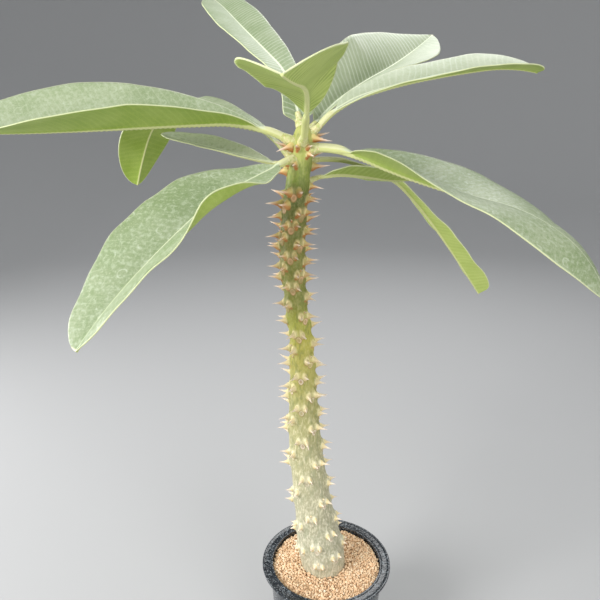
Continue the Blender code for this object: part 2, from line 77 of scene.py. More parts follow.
class Wire:
    """A socket in a material. Arithmetic on it adds Math nodes, and node() adds any other node."""

    def __init__(self, tree, socket=None):
        self.tree = tree
        self.socket = socket

    def node(self, kind, settings, sockets, output=0):
        """Adds a node: its settings first, then a value or a link for each socket, by name or number."""
        made = self.tree.nodes.new(kind)
        for name, value in settings.items():
            if name == "stops":
                ramp = made.color_ramp
                ramp.elements.remove(ramp.elements[1])
                for place, colour in value:
                    ramp.elements.new(place).color = (*colour, 1)
                ramp.elements.remove(ramp.elements[0])
            else:
                setattr(made, name, value)
        for name, value in sockets.items():
            if isinstance(value, Wire):
                self.tree.links.new(value.socket, made.inputs[name])
            elif isinstance(value, tuple) and made.inputs[name].type == "RGBA":
                made.inputs[name].default_value = (*value, 1)
            else:
                made.inputs[name].default_value = value
        return Wire(self.tree, made.outputs[output])

    def math(self, operation, *values):
        return self.node("ShaderNodeMath", {"operation": operation}, dict(enumerate(values)))

    def __add__(self, other):
        return self.math("ADD", self, other)

    def __sub__(self, other):
        return self.math("SUBTRACT", self, other)

    def __rsub__(self, other):
        return self.math("SUBTRACT", other, self)

    def __mul__(self, other):
        return self.math("MULTIPLY", self, other)

    def __truediv__(self, other):
        return self.math("DIVIDE", self, other)

    def __pow__(self, other):
        return self.math("POWER", self, other)

    __radd__ = __add__
    __rmul__ = __mul__

    def rise(self, low, high):
        """0 below low, 1 above high and a smooth step between; it falls where high is the lower one."""
        return self.node("ShaderNodeMapRange", {"interpolation_type": "SMOOTHSTEP"},
                         {"Value": self, "From Min": low, "From Max": high})

    def mix(self, none, full):
        """A colour that goes from none to full as this mask goes from 0 to 1."""
        return self.node("ShaderNodeMix", {"data_type": "RGBA"}, {0: self, 6: none, 7: full}, 2)

    def ramp(self, stops):
        """The colour at this value along stops, each a place from 0 to 1 and its colour."""
        return self.node("ShaderNodeValToRGB", {"stops": stops}, {"Fac": self})

    def mark(self, name):
        """A number kept at each point of the mesh."""
        return self.node("ShaderNodeAttribute", {"attribute_name": name}, {}, "Fac")

    def place(self, stretch=(1, 1, 1)):
        """The point's place on the object, in metres, multiplied by a number for each axis."""
        point = self.node("ShaderNodeTexCoord", {}, {}, "Object")
        return self.node("ShaderNodeMapping", {}, {"Vector": point, "Scale": Vector(stretch)})

    def height(self):
        """The point's height over the pot's underside, in metres."""
        return self.node("ShaderNodeSeparateXYZ", {}, {"Vector": self.place()}, "Z")

    def shaken_place(self, size, reach):
        """The point's place, pushed by up to half the reach along each axis by noise of a size."""
        push = self.node("ShaderNodeTexNoise", {}, {"Vector": self.place(), "Scale": 1 / size}, 1)
        return self.node("ShaderNodeVectorMath", {"operation": "MULTIPLY_ADD"},
                         {0: push, 1: Vector((reach, reach, reach)), 2: self.place()})

    def speckle(self, size, detail=2.0, stretch=(1, 1, 1)):
        """Noise from 0 to 1 whose lumps are about the given size in metres."""
        return self.node("ShaderNodeTexNoise", {}, {"Vector": self.place(stretch), "Scale": 1 / size,
                                                    "Detail": detail})

    def feed(self, surface, name):
        self.tree.links.new(self.socket, surface.inputs[name])

    def emboss(self, surface, depth):
        """Lets this height, times a depth in metres, raise the surface's normals."""
        self.node("ShaderNodeBump", {}, {"Height": self, "Distance": depth}).feed(surface, "Normal")


def new_finish(name, constants):
    """A material with the values that are the same all over; returns it, its surface and a bare wire."""
    made = bpy.data.materials.new(name)
    made.use_nodes = True
    surface = made.node_tree.nodes["Principled BSDF"]
    for socket, value in constants.items():
        surface.inputs[socket].default_value = value
    return made, surface, Wire(made.node_tree)


def grid_faces(rows, columns, around=False):
    """Four-sided faces between the points of a grid; around joins its last column to its first."""
    i, j = np.meshgrid(np.arange(rows - 1), np.arange(columns if around else columns - 1), indexing="ij")
    after = (j + 1) % columns
    corners = (i * columns + j, i * columns + after, (i + 1) * columns + after, (i + 1) * columns + j)
    return np.stack(corners, -1).reshape(-1, 4)


def fan_faces(ring, centre):
    """Triangles from each side of a ring of points to one point."""
    return np.stack([ring, np.roll(ring, -1), np.full_like(ring, centre)], -1)


def end_fans(count, sides):
    """Triangles that close both ends of a tube of count points, to the two points that follow them."""
    ring = np.arange(sides)
    return np.vstack([fan_faces(ring[::-1], count), fan_faces(count - sides + ring, count + 1)])


def add_piece(name, points, quads, triangles, finishes, marks=None, second=None):
    """A smooth mesh object.

    Marks are numbers at its points, and second tells which of its faces have the second finish.
    """
    mesh = bpy.data.meshes.new(name)
    corners = np.concatenate([quads.ravel(), triangles.ravel()]).astype(np.int32)
    starts = np.concatenate([4 * np.arange(len(quads)), quads.size + 3 * np.arange(len(triangles))])
    mesh.vertices.add(len(points))
    mesh.vertices.foreach_set("co", points.astype(np.float32).ravel())
    mesh.loops.add(len(corners))
    mesh.loops.foreach_set("vertex_index", corners)
    mesh.polygons.add(len(starts))
    mesh.polygons.foreach_set("loop_start", starts.astype(np.int32))
    for finish in finishes:
        mesh.materials.append(finish)
    if second is not None:
        mesh.polygons.foreach_set("material_index", second.astype(np.int32))
    mesh.update(calc_edges=True)
    mesh.shade_smooth()
    for mark, values in (marks or {}).items():
        kept = mesh.attributes.new(mark, "FLOAT", "POINT")
        kept.data.foreach_set("value", np.asarray(values, np.float32).ravel())
    piece = bpy.data.objects.new(name, mesh)
    bpy.context.scene.collection.objects.link(piece)
    return piece


def pulled(first, middle, last, t):
    """A curve that its middle point pulls: (1 - t)^2 first + 2 t (1 - t) middle + t^2 last."""
    return (1 - t)**2 * first + 2 * t * (1 - t) * middle + t**2 * last


def rounded(corners, steps=7):
    """Turns each corner (radius, height, cut) of a profile into a short curve that the corner pulls.

    The curve starts and ends `cut` away from the corner on its two sides. A corner with no cut stays one
    point, as points under 1e-7 m apart count as the same.
    """
    corners = np.array(corners)
    place, cut = corners[:, :2], corners[:, 2:]
    back = np.roll(place, 1, 0) - place
    ahead = np.roll(place, -1, 0) - place
    start = place + cut * back / np.linalg.norm(back, axis=1, keepdims=True)
    end = place + cut * ahead / np.linalg.norm(ahead, axis=1, keepdims=True)
    t = np.linspace(0, 1, steps)[None, :, None]
    line = pulled(start[:, None], place[:, None], end[:, None], t).reshape(-1, 2)
    new = np.linalg.norm(np.diff(line, axis=0), axis=1) > 1e-7
    return line[np.concatenate([[True], new])]


def round_steps(count):
    """Angles at even steps once round."""
    return np.arange(count) * 2 * np.pi / count


def turned(profile, sides):
    """Turns a profile of (r, z) points about Z into points (r cos a, r sin a, z).

    Its first and last points lie on the axis, and each closes the shape with a fan.
    """
    angle = round_steps(sides)
    radius, height = profile[1:-1, :1], profile[1:-1, 1:]
    rings = np.stack([radius * np.cos(angle), radius * np.sin(angle), height + 0 * angle], -1)
    rings = rings.reshape(-1, 3)
    poles = [[0, 0, profile[0, 1]], [0, 0, profile[-1, 1]]]
    return (np.vstack([rings, poles]), grid_faces(len(radius), sides, around=True),
            end_fans(len(rings), sides))


def wall_radius(z, inside=0):
    """Radius of the pot's tapered wall at a height; inside is 1 on its inner face."""
    return WALL_BASE_RADIUS + (WALL_TOP_RADIUS - WALL_BASE_RADIUS) * z / POT_TOP - WALL * inside


def pot_profile():
    """The pot's section: from the middle of its underside up its outside, over the rim, down inside."""
    rim_low = POT_TOP - RIM_THICKNESS
    dish = POT_TOP - RIM_DISH
    return rounded([
        (0, 0, 0),
        (wall_radius(0), 0, 1.5 * MM),
        (wall_radius(rim_low), rim_low, 0.8 * MM),
        (RIM_RADIUS, rim_low, 0.8 * MM),
        (RIM_RADIUS, POT_TOP, 0.7 * MM),
        (RIM_RADIUS - RIM_BEAD, POT_TOP, 0.6 * MM),
        (RIM_RADIUS - 1.6 * RIM_BEAD, dish, 0.5 * MM),
        (RIM_INNER_RADIUS + 1.5 * RIM_BEAD, dish, 0.5 * MM),
        (RIM_INNER_RADIUS + 0.9 * RIM_BEAD, POT_TOP, 0.5 * MM),
        (RIM_INNER_RADIUS, POT_TOP, 0.6 * MM),
        (RIM_INNER_RADIUS, rim_low, 0.6 * MM),
        (wall_radius(rim_low - 1.5 * MM, 1), rim_low - 1.5 * MM, 0.5 * MM),
        (wall_radius(FLOOR, 1), FLOOR, 1.2 * MM),
        (0, FLOOR, 0),
    ])


def cut_drains(pot):
    """Cuts the drain holes with a Boolean, as round plugs pushed through the floor."""
    plug = np.array([(0, -FLOOR), (DRAIN_RADIUS, -FLOOR), (DRAIN_RADIUS, 2 * FLOOR), (0, 2 * FLOOR)])
    for k in range(DRAIN_HOLES):
        angle = np.radians(DRAIN_START + 360 * k / DRAIN_HOLES)
        points, quads, triangles = turned(plug, DRAIN_SIDES)
        points += DRAIN_CIRCLE * np.array([np.cos(angle), np.sin(angle), 0])
        cutter = add_piece("drain_plug", points, quads, triangles, [])
        step = pot.modifiers.new("drain", "BOOLEAN")
        step.operation = "DIFFERENCE"
        step.object = cutter
        bpy.context.view_layer.objects.active = pot
        bpy.ops.object.modifier_apply(modifier=step.name)
        bpy.data.objects.remove(cutter)


def pot_plastic():
    """Black gloss under a blotchy film of dust and painted reflection, over a skin that isn't quite
    flat.
    """
    finish, surface, wire = new_finish("pot_plastic", {"Specular IOR Level": 0.55})
    blotch = wire.speckle(4.0 * MM, 4.0)
    # The film is partly dust and partly painted reflection: pale blue-grey blotches that stand in for
    # the rim's glints
    dust_and_reflection = wire.speckle(1.1 * MM, 3.0).rise(0.49, 0.66) * blotch.rise(0.32, 0.58)
    (dust_and_reflection * 0.65).mix(POT_BLACK, POT_DUST_AND_REFLECTION).feed(surface, "Base Color")
    (0.06 + 0.16 * blotch + 0.22 * dust_and_reflection).feed(surface, "Roughness")
    (wire.speckle(3.2 * MM, 2.0) + 0.35 * wire.speckle(0.9 * MM)).emboss(surface, 0.22 * MM)
    return finish


pot = add_piece("pot_shell", *turned(pot_profile(), POT_SIDES), [pot_plastic()])
cut_drains(pot)
pot.data.set_sharp_from_angle(angle=np.radians(DRAIN_CREASE))
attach(pot, "root")
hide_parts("pot")

# The soil is fired grit sieved to about two millimetres, filled almost to the rim and heaped a little
# against the trunk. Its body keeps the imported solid; the loose grains on top are modelled one by one.
SOIL_TOP = 96.5 * MM
SOIL_LUMP = 0.6 * MM
SOIL_REACH = 43.4 * MM
GRAIN_SIZE = (1.35 * MM, 2.45 * MM)
GRAIN_LAYERS = ((-1.0 * MM, 2350), (0.35 * MM, 2350))
GRAIN_STRETCH = (0.72, 1.12)
GRAIN_DENT = 0.13
# How far grains stray from their even places: sideways in gaps between them, upwards in millimetres
GRAIN_STRAY = 0.28
GRAIN_JUMP = 0.35
HEAP_AT_TRUNK = 0.8 * MM
HEAP_REACH = 2.5 * MM
DROP_AT_WALL = 1.3 * MM
DROP_REACH = 1.5 * MM
# Where the trunk enters the soil: its place along X and its radius
TRUNK_AT_SOIL = (-2.5 * MM, 17.6 * MM)
GRAIN_CLEARANCE = 0.2 * MM
GRAIN_TONES = [(0.00, (0.30, 0.16, 0.075)), (0.06, (0.52, 0.30, 0.15)), (0.30, (0.72, 0.47, 0.27)),
               (0.62, (0.82, 0.58, 0.36)), (0.88, (0.88, 0.69, 0.47)), (1.00, (0.93, 0.80, 0.62))]
# Painted shade in the gaps between the grains, laid on the bed under them
GRIT_GAP_SHADE = (0.26, 0.15, 0.075)
NO_TRIANGLES = np.empty((0, 3), int)


def ball_of_quads():
    """A cube cut once in quarters and pressed onto a ball: 26 points and 24 faces."""
    lattice = [p for p in itertools.product((-1, 0, 1), repeat=3) if any(p)]
    number = {p: k for k, p in enumerate(lattice)}
    faces = []
    for axis, side in itertools.product(range(3), (-1, 1)):
        for a, b in itertools.product((-1, 0), repeat=2):
            turn = -side if axis == 1 else side
            ring = [(a, b), (a + 1, b), (a + 1, b + 1), (a, b + 1)][::turn]
            faces.append([number[(*c[:axis], side, *c[axis:])] for c in ring])
    points = np.array(lattice, float)
    return points / np.linalg.norm(points, axis=1, keepdims=True), np.array(faces)


def random_turns(count, dice):
    """Rotation matrices from random unit quaternions (w, x, y, z)."""
    q = dice.normal(size=(4, count))
    w, x, y, z = q / np.linalg.norm(q, axis=0)
    rows = [1 - 2 * (y * y + z * z), 2 * (x * y - w * z), 2 * (x * z + w * y),
            2 * (x * y + w * z), 1 - 2 * (x * x + z * z), 2 * (y * z - w * x),
            2 * (x * z - w * y), 2 * (y * z + w * x), 1 - 2 * (x * x + y * y)]
    return np.stack(rows, -1).reshape(count, 3, 3)


def soil_height(x, y):
    """The gently uneven top: two crossing waves, in the same places as on the solid."""
    waves = np.sin(x * 170 + 1) * np.cos(y * 210) + 0.6 * np.sin(x * 390 + y * 310)
    return SOIL_TOP + SOIL_LUMP * waves


def grain_places(dice, trunk_x, trunk_radius_there):
    """Grains in layers, each a sunflower spiral r = R sqrt(k / n), a = k times the golden angle, shaken.

    Those inside the trunk are left out; the rest rise against it and drop at the wall.
    """
    golden = np.pi * (3 - np.sqrt(5))
    centres = []
    for lift, count in GRAIN_LAYERS:
        k = np.arange(count) + 0.5
        gap = SOIL_REACH * np.sqrt(np.pi / count)
        radius = SOIL_REACH * np.sqrt(k / count) + dice.normal(0, GRAIN_STRAY * gap, count)
        angle = k * golden + dice.normal(0, GRAIN_STRAY, count) * gap / np.maximum(radius, gap)
        radius = np.minimum(radius, SOIL_REACH)
        x, y = radius * np.cos(angle), radius * np.sin(angle)
        from_trunk = np.hypot(x - trunk_x, y) - trunk_radius_there
        from_wall = SOIL_REACH - radius
        z = (soil_height(x, y) + lift + dice.uniform(-GRAIN_JUMP, GRAIN_JUMP, count) * MM
             + HEAP_AT_TRUNK * np.exp(-from_trunk / HEAP_REACH)
             - DROP_AT_WALL * np.exp(-from_wall / DROP_REACH))
        centres.append(np.stack([x, y, z], -1)[from_trunk > GRAIN_CLEARANCE])
    return np.vstack(centres)


def grit_stone(name, grain):
    """Fired clay: a tone per grain, red-brown to cream, a fine dusty bloom; the bed is mostly painted
    shade.
    """
    finish, surface, wire = new_finish(name, {"Roughness": 0.92, "Specular IOR Level": 0.25})
    tone = wire.mark("grain") if grain else wire.speckle(1.6 * MM, 1.0)
    colour = tone.ramp(GRAIN_TONES)
    bloom = wire.speckle(0.5 * MM, 2.0).rise(0.35, 0.75)
    if grain:
        (bloom * 0.25).mix(colour, (0.95, 0.84, 0.68)).feed(surface, "Base Color")
    else:
        # The bed is mostly painted shade between the grains, in blotches that the bloom noise sets
        (bloom * 0.5 + 0.5).mix(colour, GRIT_GAP_SHADE).feed(surface, "Base Color")
    wire.speckle(0.45 * MM, 3.0).emboss(surface, 0.12 * MM)
    return finish


def copies(faces, points_each, count):
    """The faces of one shape, numbered on for each copy of its points."""
    return (faces[None] + points_each * np.arange(count)[:, None, None]).reshape(-1, faces.shape[1])


def add_grains():
    """Each grain is the ball times its own three sizes, with every point dented, turned at random."""
    dice = np.random.default_rng(5)
    centres = grain_places(dice, *TRUNK_AT_SOIL)
    count = len(centres)
    ball, faces = ball_of_quads()
    size = dice.uniform(*GRAIN_SIZE, count)[:, None] / 2 * dice.uniform(*GRAIN_STRETCH, (count, 3))
    dents = dice.uniform(1 - GRAIN_DENT, 1 + GRAIN_DENT, (count, len(ball), 1))
    shape = ball[None] * size[:, None] * dents
    points = centres[:, None] + np.einsum("nij,nkj->nki", random_turns(count, dice), shape)
    tones = np.repeat(dice.beta(2.2, 1.8, count), len(ball))
    return add_piece("grit_grains", points.reshape(-1, 3), copies(faces, len(ball), count), NO_TRIANGLES,
                     [grit_stone("grit_grain", True)], {"grain": tones})


grains = add_grains()
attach(grains, "root")
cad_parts["soil"].data.materials.clear()
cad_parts["soil"].data.materials.append(grit_stone("grit_bed", False))

# The trunk's growth: one slender stem that leans and swells as these stations say, each a height, a
# place along X and a radius. Its groups of spines follow a spiral of three eighths of a turn, so they
# stand in eight columns; its crown bears the leaves.
TRUNK = np.array([
    (40, -1.0, 3.0),
    (60, -1.0, 9.0),
    (84, -1.5, 15.0),
    (97, -2.5, 17.6),
    (110, -4.0, 18.4),
    (148, -10.0, 15.2),
    (182, -14.5, 13.4),
    (217, -18.0, 12.0),
    (250, -19.2, 10.2),
    (292, -20.5, 8.2),
    (325, -24.5, 7.6),
    (357, -27.0, 8.2),
    (395, -25.0, 7.8),
    (428, -20.8, 7.2),
    (438, -20.0, 6.4),
    (446, -19.6, 3.6),
]) * MM
CROWN = TRUNK[-1, 0]
# Heights of the groups in the front column, in which every eighth group stands
FRONT_COLUMN = np.array([109, 126, 151, 186, 218, 245, 270, 302, 338, 360, 381, 403]) * MM
COLUMNS = 8
FRONT_AZIMUTH = 262
GROUP_TURN = 135

# Values in a row follow the leaf at even steps from its foot to its tip, in millimetres and degrees.
# height, foot and azimuth: where its foot stands, foot being the distance from the trunk's middle
# line; turn: how far it swings sideways; shape: exponents of its outline, how it swells from the
# petiole and how it closes at the tip; wave: of its margin; dew: how marked by dried drops it is;
# tone and under: how pale its two sides are, partly their own colour and partly painted light, set
# paler on leaves that catch more light; veined: how clear its side veins are; spines: the size of the
# pair below it; rise: its slope; fold: how far each half stands up from the midrib; roll: its turn
# about the midrib; flare: extra half width at its base; curl: how far its left margin turns up.
LEAVES = {
    "leaf_01": dict(
        height=436, foot=8.5, azimuth=189, turn=4, length=202, width=72, petiole=20, stalk=2.7,
        shape=(0.95, 0.50), wave=0.3, dew=0.4, tone=0.30, under=0.15, veined=0.10, spines=1.0,
        rise=(29, -2, -3, -2, 1), fold=(42, 41, 18), roll=(10, 16, 19)),
    "leaf_02": dict(
        height=425, foot=8.5, azimuth=228, turn=-2, length=186, width=69, petiole=14, stalk=2.4,
        shape=(0.65, 0.55), wave=1.0, dew=0.8, tone=0.05, under=0.45, veined=0.05, spines=0.6,
        rise=(-15, -16, -31, -36, -46), fold=(8, 20, 16), roll=(7, 2, -12),
        curl=(0, 0, 2, 42, 48, 12, 0, 0, 0)),
    "leaf_03": dict(
        height=425, foot=10.0, azimuth=149, turn=-16, length=206, width=48, petiole=14, stalk=1.9,
        shape=(0.90, 0.48), wave=0.3, dew=0.3, tone=0.40, under=0.15, veined=0.10, spines=1.0,
        rise=(52, 18, 9, -19, -56, -64), fold=(0, 1, 18, 4, 30), roll=(9, 0, -6)),
    "leaf_04": dict(
        height=420, foot=8.5, azimuth=164, turn=0, length=94, width=27, petiole=9, stalk=1.6,
        shape=(0.90, 0.57), wave=0.2, dew=0.5, tone=1.4, under=0.40, veined=0.10, spines=1.0,
        rise=(7, 11, 13, 11, 18), fold=(26, 12), roll=(17, 9)),
    "leaf_05": dict(
        height=446, foot=5.5, azimuth=117, turn=-7, length=221, width=40, petiole=0, stalk=2.2,
        shape=(0.82, 0.35), wave=0.4, dew=0.0, tone=0.12, under=0.50, veined=0.8, spines=1.0,
        rise=(74, 24, 22, 22, 16), fold=(11, 14), roll=(6, 10), flare=8),
    "leaf_06": dict(
        height=436, foot=9.8, azimuth=275, turn=-17, length=152, width=56, petiole=34, stalk=2.4,
        shape=(0.72, 0.30), wave=0.3, dew=0.0, tone=0.40, under=0.75, veined=1.0, spines=0.5,
        rise=(40, 21, 8, 0, 7), fold=(20, 26, 27), roll=(19, -17, -5)),
    "leaf_07": dict(
        height=442, foot=8.0, azimuth=53, turn=-2, length=185, width=69, petiole=6, stalk=2.2,
        shape=(0.90, 0.84), wave=0.3, dew=0.0, tone=0.75, under=0.50, veined=1.0, spines=1.0,
        rise=(37, 22, 17, 22, 26), fold=(45, 35, 10), roll=(-12, -23, -19)),
    "leaf_08": dict(
        height=441, foot=8.0, azimuth=13, turn=2, length=172, width=40, petiole=20, stalk=2.1,
        shape=(0.59, 0.29), wave=0.4, dew=0.0, tone=0.80, under=0.45, veined=0.25, spines=1.0,
        rise=(53, 17, 10, 7, -10), fold=(18, 18, 20), roll=(-18, -13, -13)),
    "leaf_09": dict(
        height=431.5, foot=8.5, azimuth=328, turn=-2, length=207, width=70, petiole=28, stalk=3.0,
        shape=(0.73, 0.78), wave=0.4, dew=0.8, tone=0.25, under=0.40, veined=0.05, spines=0.6,
        rise=(4, -19, -14, -9, -34, -70), fold=(27, 28, 11, -11, -19), roll=(4, 2, -1, 0, -11)),
    "leaf_10": dict(
        height=423, foot=8.5, azimuth=32, turn=1, length=226, width=28, petiole=36, stalk=1.8,
        shape=(0.88, 0.20), wave=1.0, dew=0.2, tone=0.60, under=1.0, veined=0.20, spines=1.0,
        rise=(2, -15, -39, -46, -48, -49), fold=(4, 5, 19, 40), roll=(2, 0, -6, 7)),
    "leaf_11": dict(
        height=410, foot=9.0, azimuth=20, turn=-1, length=82, width=28, petiole=8, stalk=1.6,
        shape=(0.74, 0.57), wave=0.4, dew=0.2, tone=0.40, under=0.50, veined=0.40, spines=1.0,
        rise=(17, -6, -9, 5), fold=(20, 7), roll=(25, 20)),
}
# The share of a leaf's length at which a flared base is widest
FLARE_SHARE = 0.03


def smooth_through(at, stations, values):
    """A smooth curve through stations: cubic steps whose slopes come from the neighbours."""
    slopes = np.gradient(values, stations)
    i = np.clip(np.searchsorted(stations, at) - 1, 0, len(stations) - 2)
    span = stations[i + 1] - stations[i]
    t = (at - stations[i]) / span
    return ((2 * t**3 - 3 * t**2 + 1) * values[i] + (t**3 - 2 * t**2 + t) * span * slopes[i]
            + (3 * t**2 - 2 * t**3) * values[i + 1] + (t**3 - t**2) * span * slopes[i + 1])


def trunk_centre(z):
    """The trunk's middle at a height, where its lean puts it."""
    lean = smooth_through(z, TRUNK[:, 0], TRUNK[:, 1])
    return np.stack([lean, np.zeros_like(lean), z + np.zeros_like(lean)], -1)


def trunk_radius(z):
    """The trunk's radius at a height, before anything stands out of its skin."""
    return smooth_through(z, TRUNK[:, 0], TRUNK[:, 2])


def heading(azimuth, rise):
    """Unit vectors along an azimuth and a rise, both in radians."""
    return np.stack([np.cos(rise) * np.cos(azimuth), np.cos(rise) * np.sin(azimuth),
                     np.sin(rise) * np.ones_like(azimuth)], -1)


def along(shares, values):
    """Values at even steps from the leaf's foot to its tip, read at each share of its length."""
    return np.interp(shares, np.linspace(0, 1, len(values)), values)


def midrib(leaf, shares):
    """Points, directions and azimuths along the midrib, where share 0 is the foot.

    A walk: each step goes along the heading that the leaf's rise and turn give there.
    """
    rise = np.radians(along(shares, leaf["rise"]))
    azimuth = np.radians(leaf["azimuth"] + leaf["turn"] * shares)
    forward = heading(azimuth, rise)
    steps = np.diff(shares)[:, None] * leaf["length"] * MM * (forward[1:] + forward[:-1]) / 2
    walk = np.vstack([np.zeros(3), np.cumsum(steps, 0)])
    walk -= np.array([np.interp(0, shares, walk[:, k]) for k in range(3)])
    foot = (trunk_centre(np.array(leaf["height"] * MM))
            + leaf["foot"] * MM * heading(np.radians(leaf["azimuth"]), 0.0))
    return foot + walk, forward, azimuth


def half_width(leaf, shares):
    """Half the blade's width: t^a (1 - t)^b over its own peak, times half the leaf's width.

    Here t runs from the petiole's end to the tip. A flared base adds f u e^(1 - u), where u is the share
    of the length over the flare's own.
    """
    petiole = leaf["petiole"] / leaf["length"]
    t = np.clip((shares - petiole) / (1 - petiole), 0, 1)
    swell, close = leaf["shape"]
    widest = swell / (swell + close)
    peak = widest**swell * (1 - widest)**close
    flare = np.clip(shares / FLARE_SHARE, 0, None)
    return (leaf["width"] * MM / 2 * t**swell * (1 - t)**close / peak
            + leaf.get("flare", 0) * MM * flare * np.exp(1 - flare))


def spine_groups():
    """Height and azimuth of each group, in steps of an eighth of the front column's own."""
    number = np.arange(COLUMNS * (len(FRONT_COLUMN) - 1) + 1)
    heights = np.interp(number / COLUMNS, np.arange(len(FRONT_COLUMN)), FRONT_COLUMN)
    return np.stack([heights, (FRONT_AZIMUTH + GROUP_TURN * number) % 360], -1)


# The spines: each group is a pair that spreads to both sides of a leaf's old place, sometimes with a
# much smaller third one above. Each is a hard horn: a broad foot on a buttress of skin, then a needle.
TUBERCLE_HEIGHT = 1.2 * MM
TUBERCLE_WIDTH = 4.0 * MM
TUBERCLE_LENGTH = 5.0 * MM
BUTTRESS_HEIGHT = 3.3 * MM
BUTTRESS_HALF_WIDTH = 3.1 * MM
BUTTRESS_ABOVE = 6.4 * MM
BUTTRESS_BELOW = 4.8 * MM
BUTTRESS_LEAN = 1.0 * MM
BUTTRESS_SHARE_AT = {110 * MM: 0.5, 150 * MM: 0.8, 200 * MM: 1.0}
SPINE_LENGTH_AT = {110 * MM: 3.2 * MM, 150 * MM: 4.8 * MM, 195 * MM: 7.2 * MM, 270 * MM: 8.4 * MM,
                   385 * MM: 9.2 * MM, 430 * MM: 12.5 * MM}
SPINE_FOOT_RADIUS = 1.65 * MM
STOUT_FOOT_RADIUS = 2.2 * MM
STOUT_FROM = 10 * MM
SPINE_SINK = 1.8 * MM
SPINE_SPACING = 2.8 * MM
SPINE_SPREAD = 6
SPINE_SPREAD_DRAW = 7
SPINE_RISE = 2
SPINE_RISE_DRAW = 12
SPINE_SIZE_DRAW = (0.85, 1.1)
SPINE_BELOW_LEAF = 4 * MM
SPINE_CLEARANCE = 1.2 * MM
GUARDED_STRETCH = 50 * MM
SPINE_RINGS = 14
SPINE_SIDES = 12
SPINE_ROOT = 0.18
SPINE_BEND = 0.14
THIRD_SPINE_SHARE = 0.3
THIRD_SPINE_RISE = 22
THIRD_SPINE_LENGTH = 0.45
THIRD_SPINE_FOOT = 0.5
THIRD_SPINE_ABOVE = 3.0 * MM


def share_at(z, table):
    """The table's value at a height, in straight steps between its own heights."""
    return np.interp(z, list(table), list(table.values()))


def tubercle_swell(z, azimuth, groups):
    """How far the skin stands out: the sum of bumps exp(-(side / width)^2 - (dz / length)^2)."""
    swell = np.zeros(np.broadcast(z, azimuth).shape)
    for height, turn in groups:
        apart = (np.degrees(azimuth) - turn + 180) % 360 - 180
        sideways = np.radians(apart) * trunk_radius(np.array(height))
        swell += np.exp(-(sideways / TUBERCLE_WIDTH)**2 - ((z - height) / TUBERCLE_LENGTH)**2)
    return TUBERCLE_HEIGHT * np.clip(swell, 0, 1.1)


def petiole_room(points):
    """How far points are from the nearest leaf's first stretch, less its half width there."""
    room = np.full(points.shape[:-1], np.inf)
    for leaf in LEAVES.values():
        shares = np.linspace(0, 1, 121)
        near = shares * leaf["length"] * MM < GUARDED_STRETCH
        reach = np.maximum(leaf["stalk"] * MM, 0.9 * half_width(leaf, shares))[near]
        line = midrib(leaf, shares)[0][near]
        room = np.minimum(room, (np.linalg.norm(points[..., None, :] - line, axis=-1) - reach).min(-1))
    return room


def spine_pairs(groups):
    """Foot, direction, length and radius of each paired spine, then its height, turn and side.

    A spine that would touch a leaf is left out.
    """
    leaf_places = [(leaf["height"] * MM - SPINE_BELOW_LEAF, leaf["azimuth"]) for leaf in LEAVES.values()]
    places = np.vstack([groups, leaf_places])
    draw = random.Random(11)
    shaken = np.array([[(draw.uniform(-SPINE_SPREAD_DRAW, SPINE_SPREAD_DRAW), draw.uniform(-1, 1),
                         draw.uniform(*SPINE_SIZE_DRAW)) for _ in (-1, 1)] for _ in places])
    side = np.array([[-1, 1]])
    z = places[:, :1] + 0 * side
    radius = trunk_radius(z)
    turn = np.radians(places[:, 1:]) + side * SPINE_SPACING / radius
    out = (radius + tubercle_swell(z, turn, groups)
           + (BUTTRESS_HEIGHT - SPINE_SINK) * share_at(z, BUTTRESS_SHARE_AT))
    foot = trunk_centre(z) + heading(turn, 0.0) * out[..., None]
    towards = heading(turn + side * np.radians(SPINE_SPREAD + shaken[..., 0]),
                      np.radians(SPINE_RISE + SPINE_RISE_DRAW * shaken[..., 1]))
    size = np.append(np.ones(len(groups)), [leaf["spines"] for leaf in LEAVES.values()])[:, None]
    length = share_at(z, SPINE_LENGTH_AT) * shaken[..., 2] * size
    base = np.where(length > STOUT_FROM, STOUT_FOOT_RADIUS, SPINE_FOOT_RADIUS)
    reach = np.linspace(0, 1, 9)[:, None]
    line = foot[..., None, :] + reach * length[..., None, None] * towards[..., None, :]
    clear = petiole_room(line).min(-1) > SPINE_CLEARANCE
    return [part[clear] for part in (foot, towards, length, base, z, turn, side + 0 * z)]


def third_spines(groups):
    """Foot, direction, length and radius of the small spine above some of the pairs."""
    dice = np.random.default_rng(3)
    places = groups[dice.random(len(groups)) < THIRD_SPINE_SHARE]
    z = places[:, 0] + THIRD_SPINE_ABOVE
    turn = np.radians(places[:, 1])
    out = trunk_radius(z) + tubercle_swell(z, turn, groups)
    foot = trunk_centre(z) + heading(turn, 0.0) * out[:, None]
    towards = heading(turn, np.radians(THIRD_SPINE_RISE) + 0 * turn)
    length = THIRD_SPINE_LENGTH * share_at(z, SPINE_LENGTH_AT)
    return foot, towards, length, THIRD_SPINE_FOOT * SPINE_FOOT_RADIUS + 0 * z


def crosswise(way):
    """Two unit vectors square to each unit vector: one level, and one square to both."""
    aside = np.cross(way, (0, 0, 1))
    aside /= np.linalg.norm(aside, axis=-1, keepdims=True)
    return aside, np.cross(aside, way)


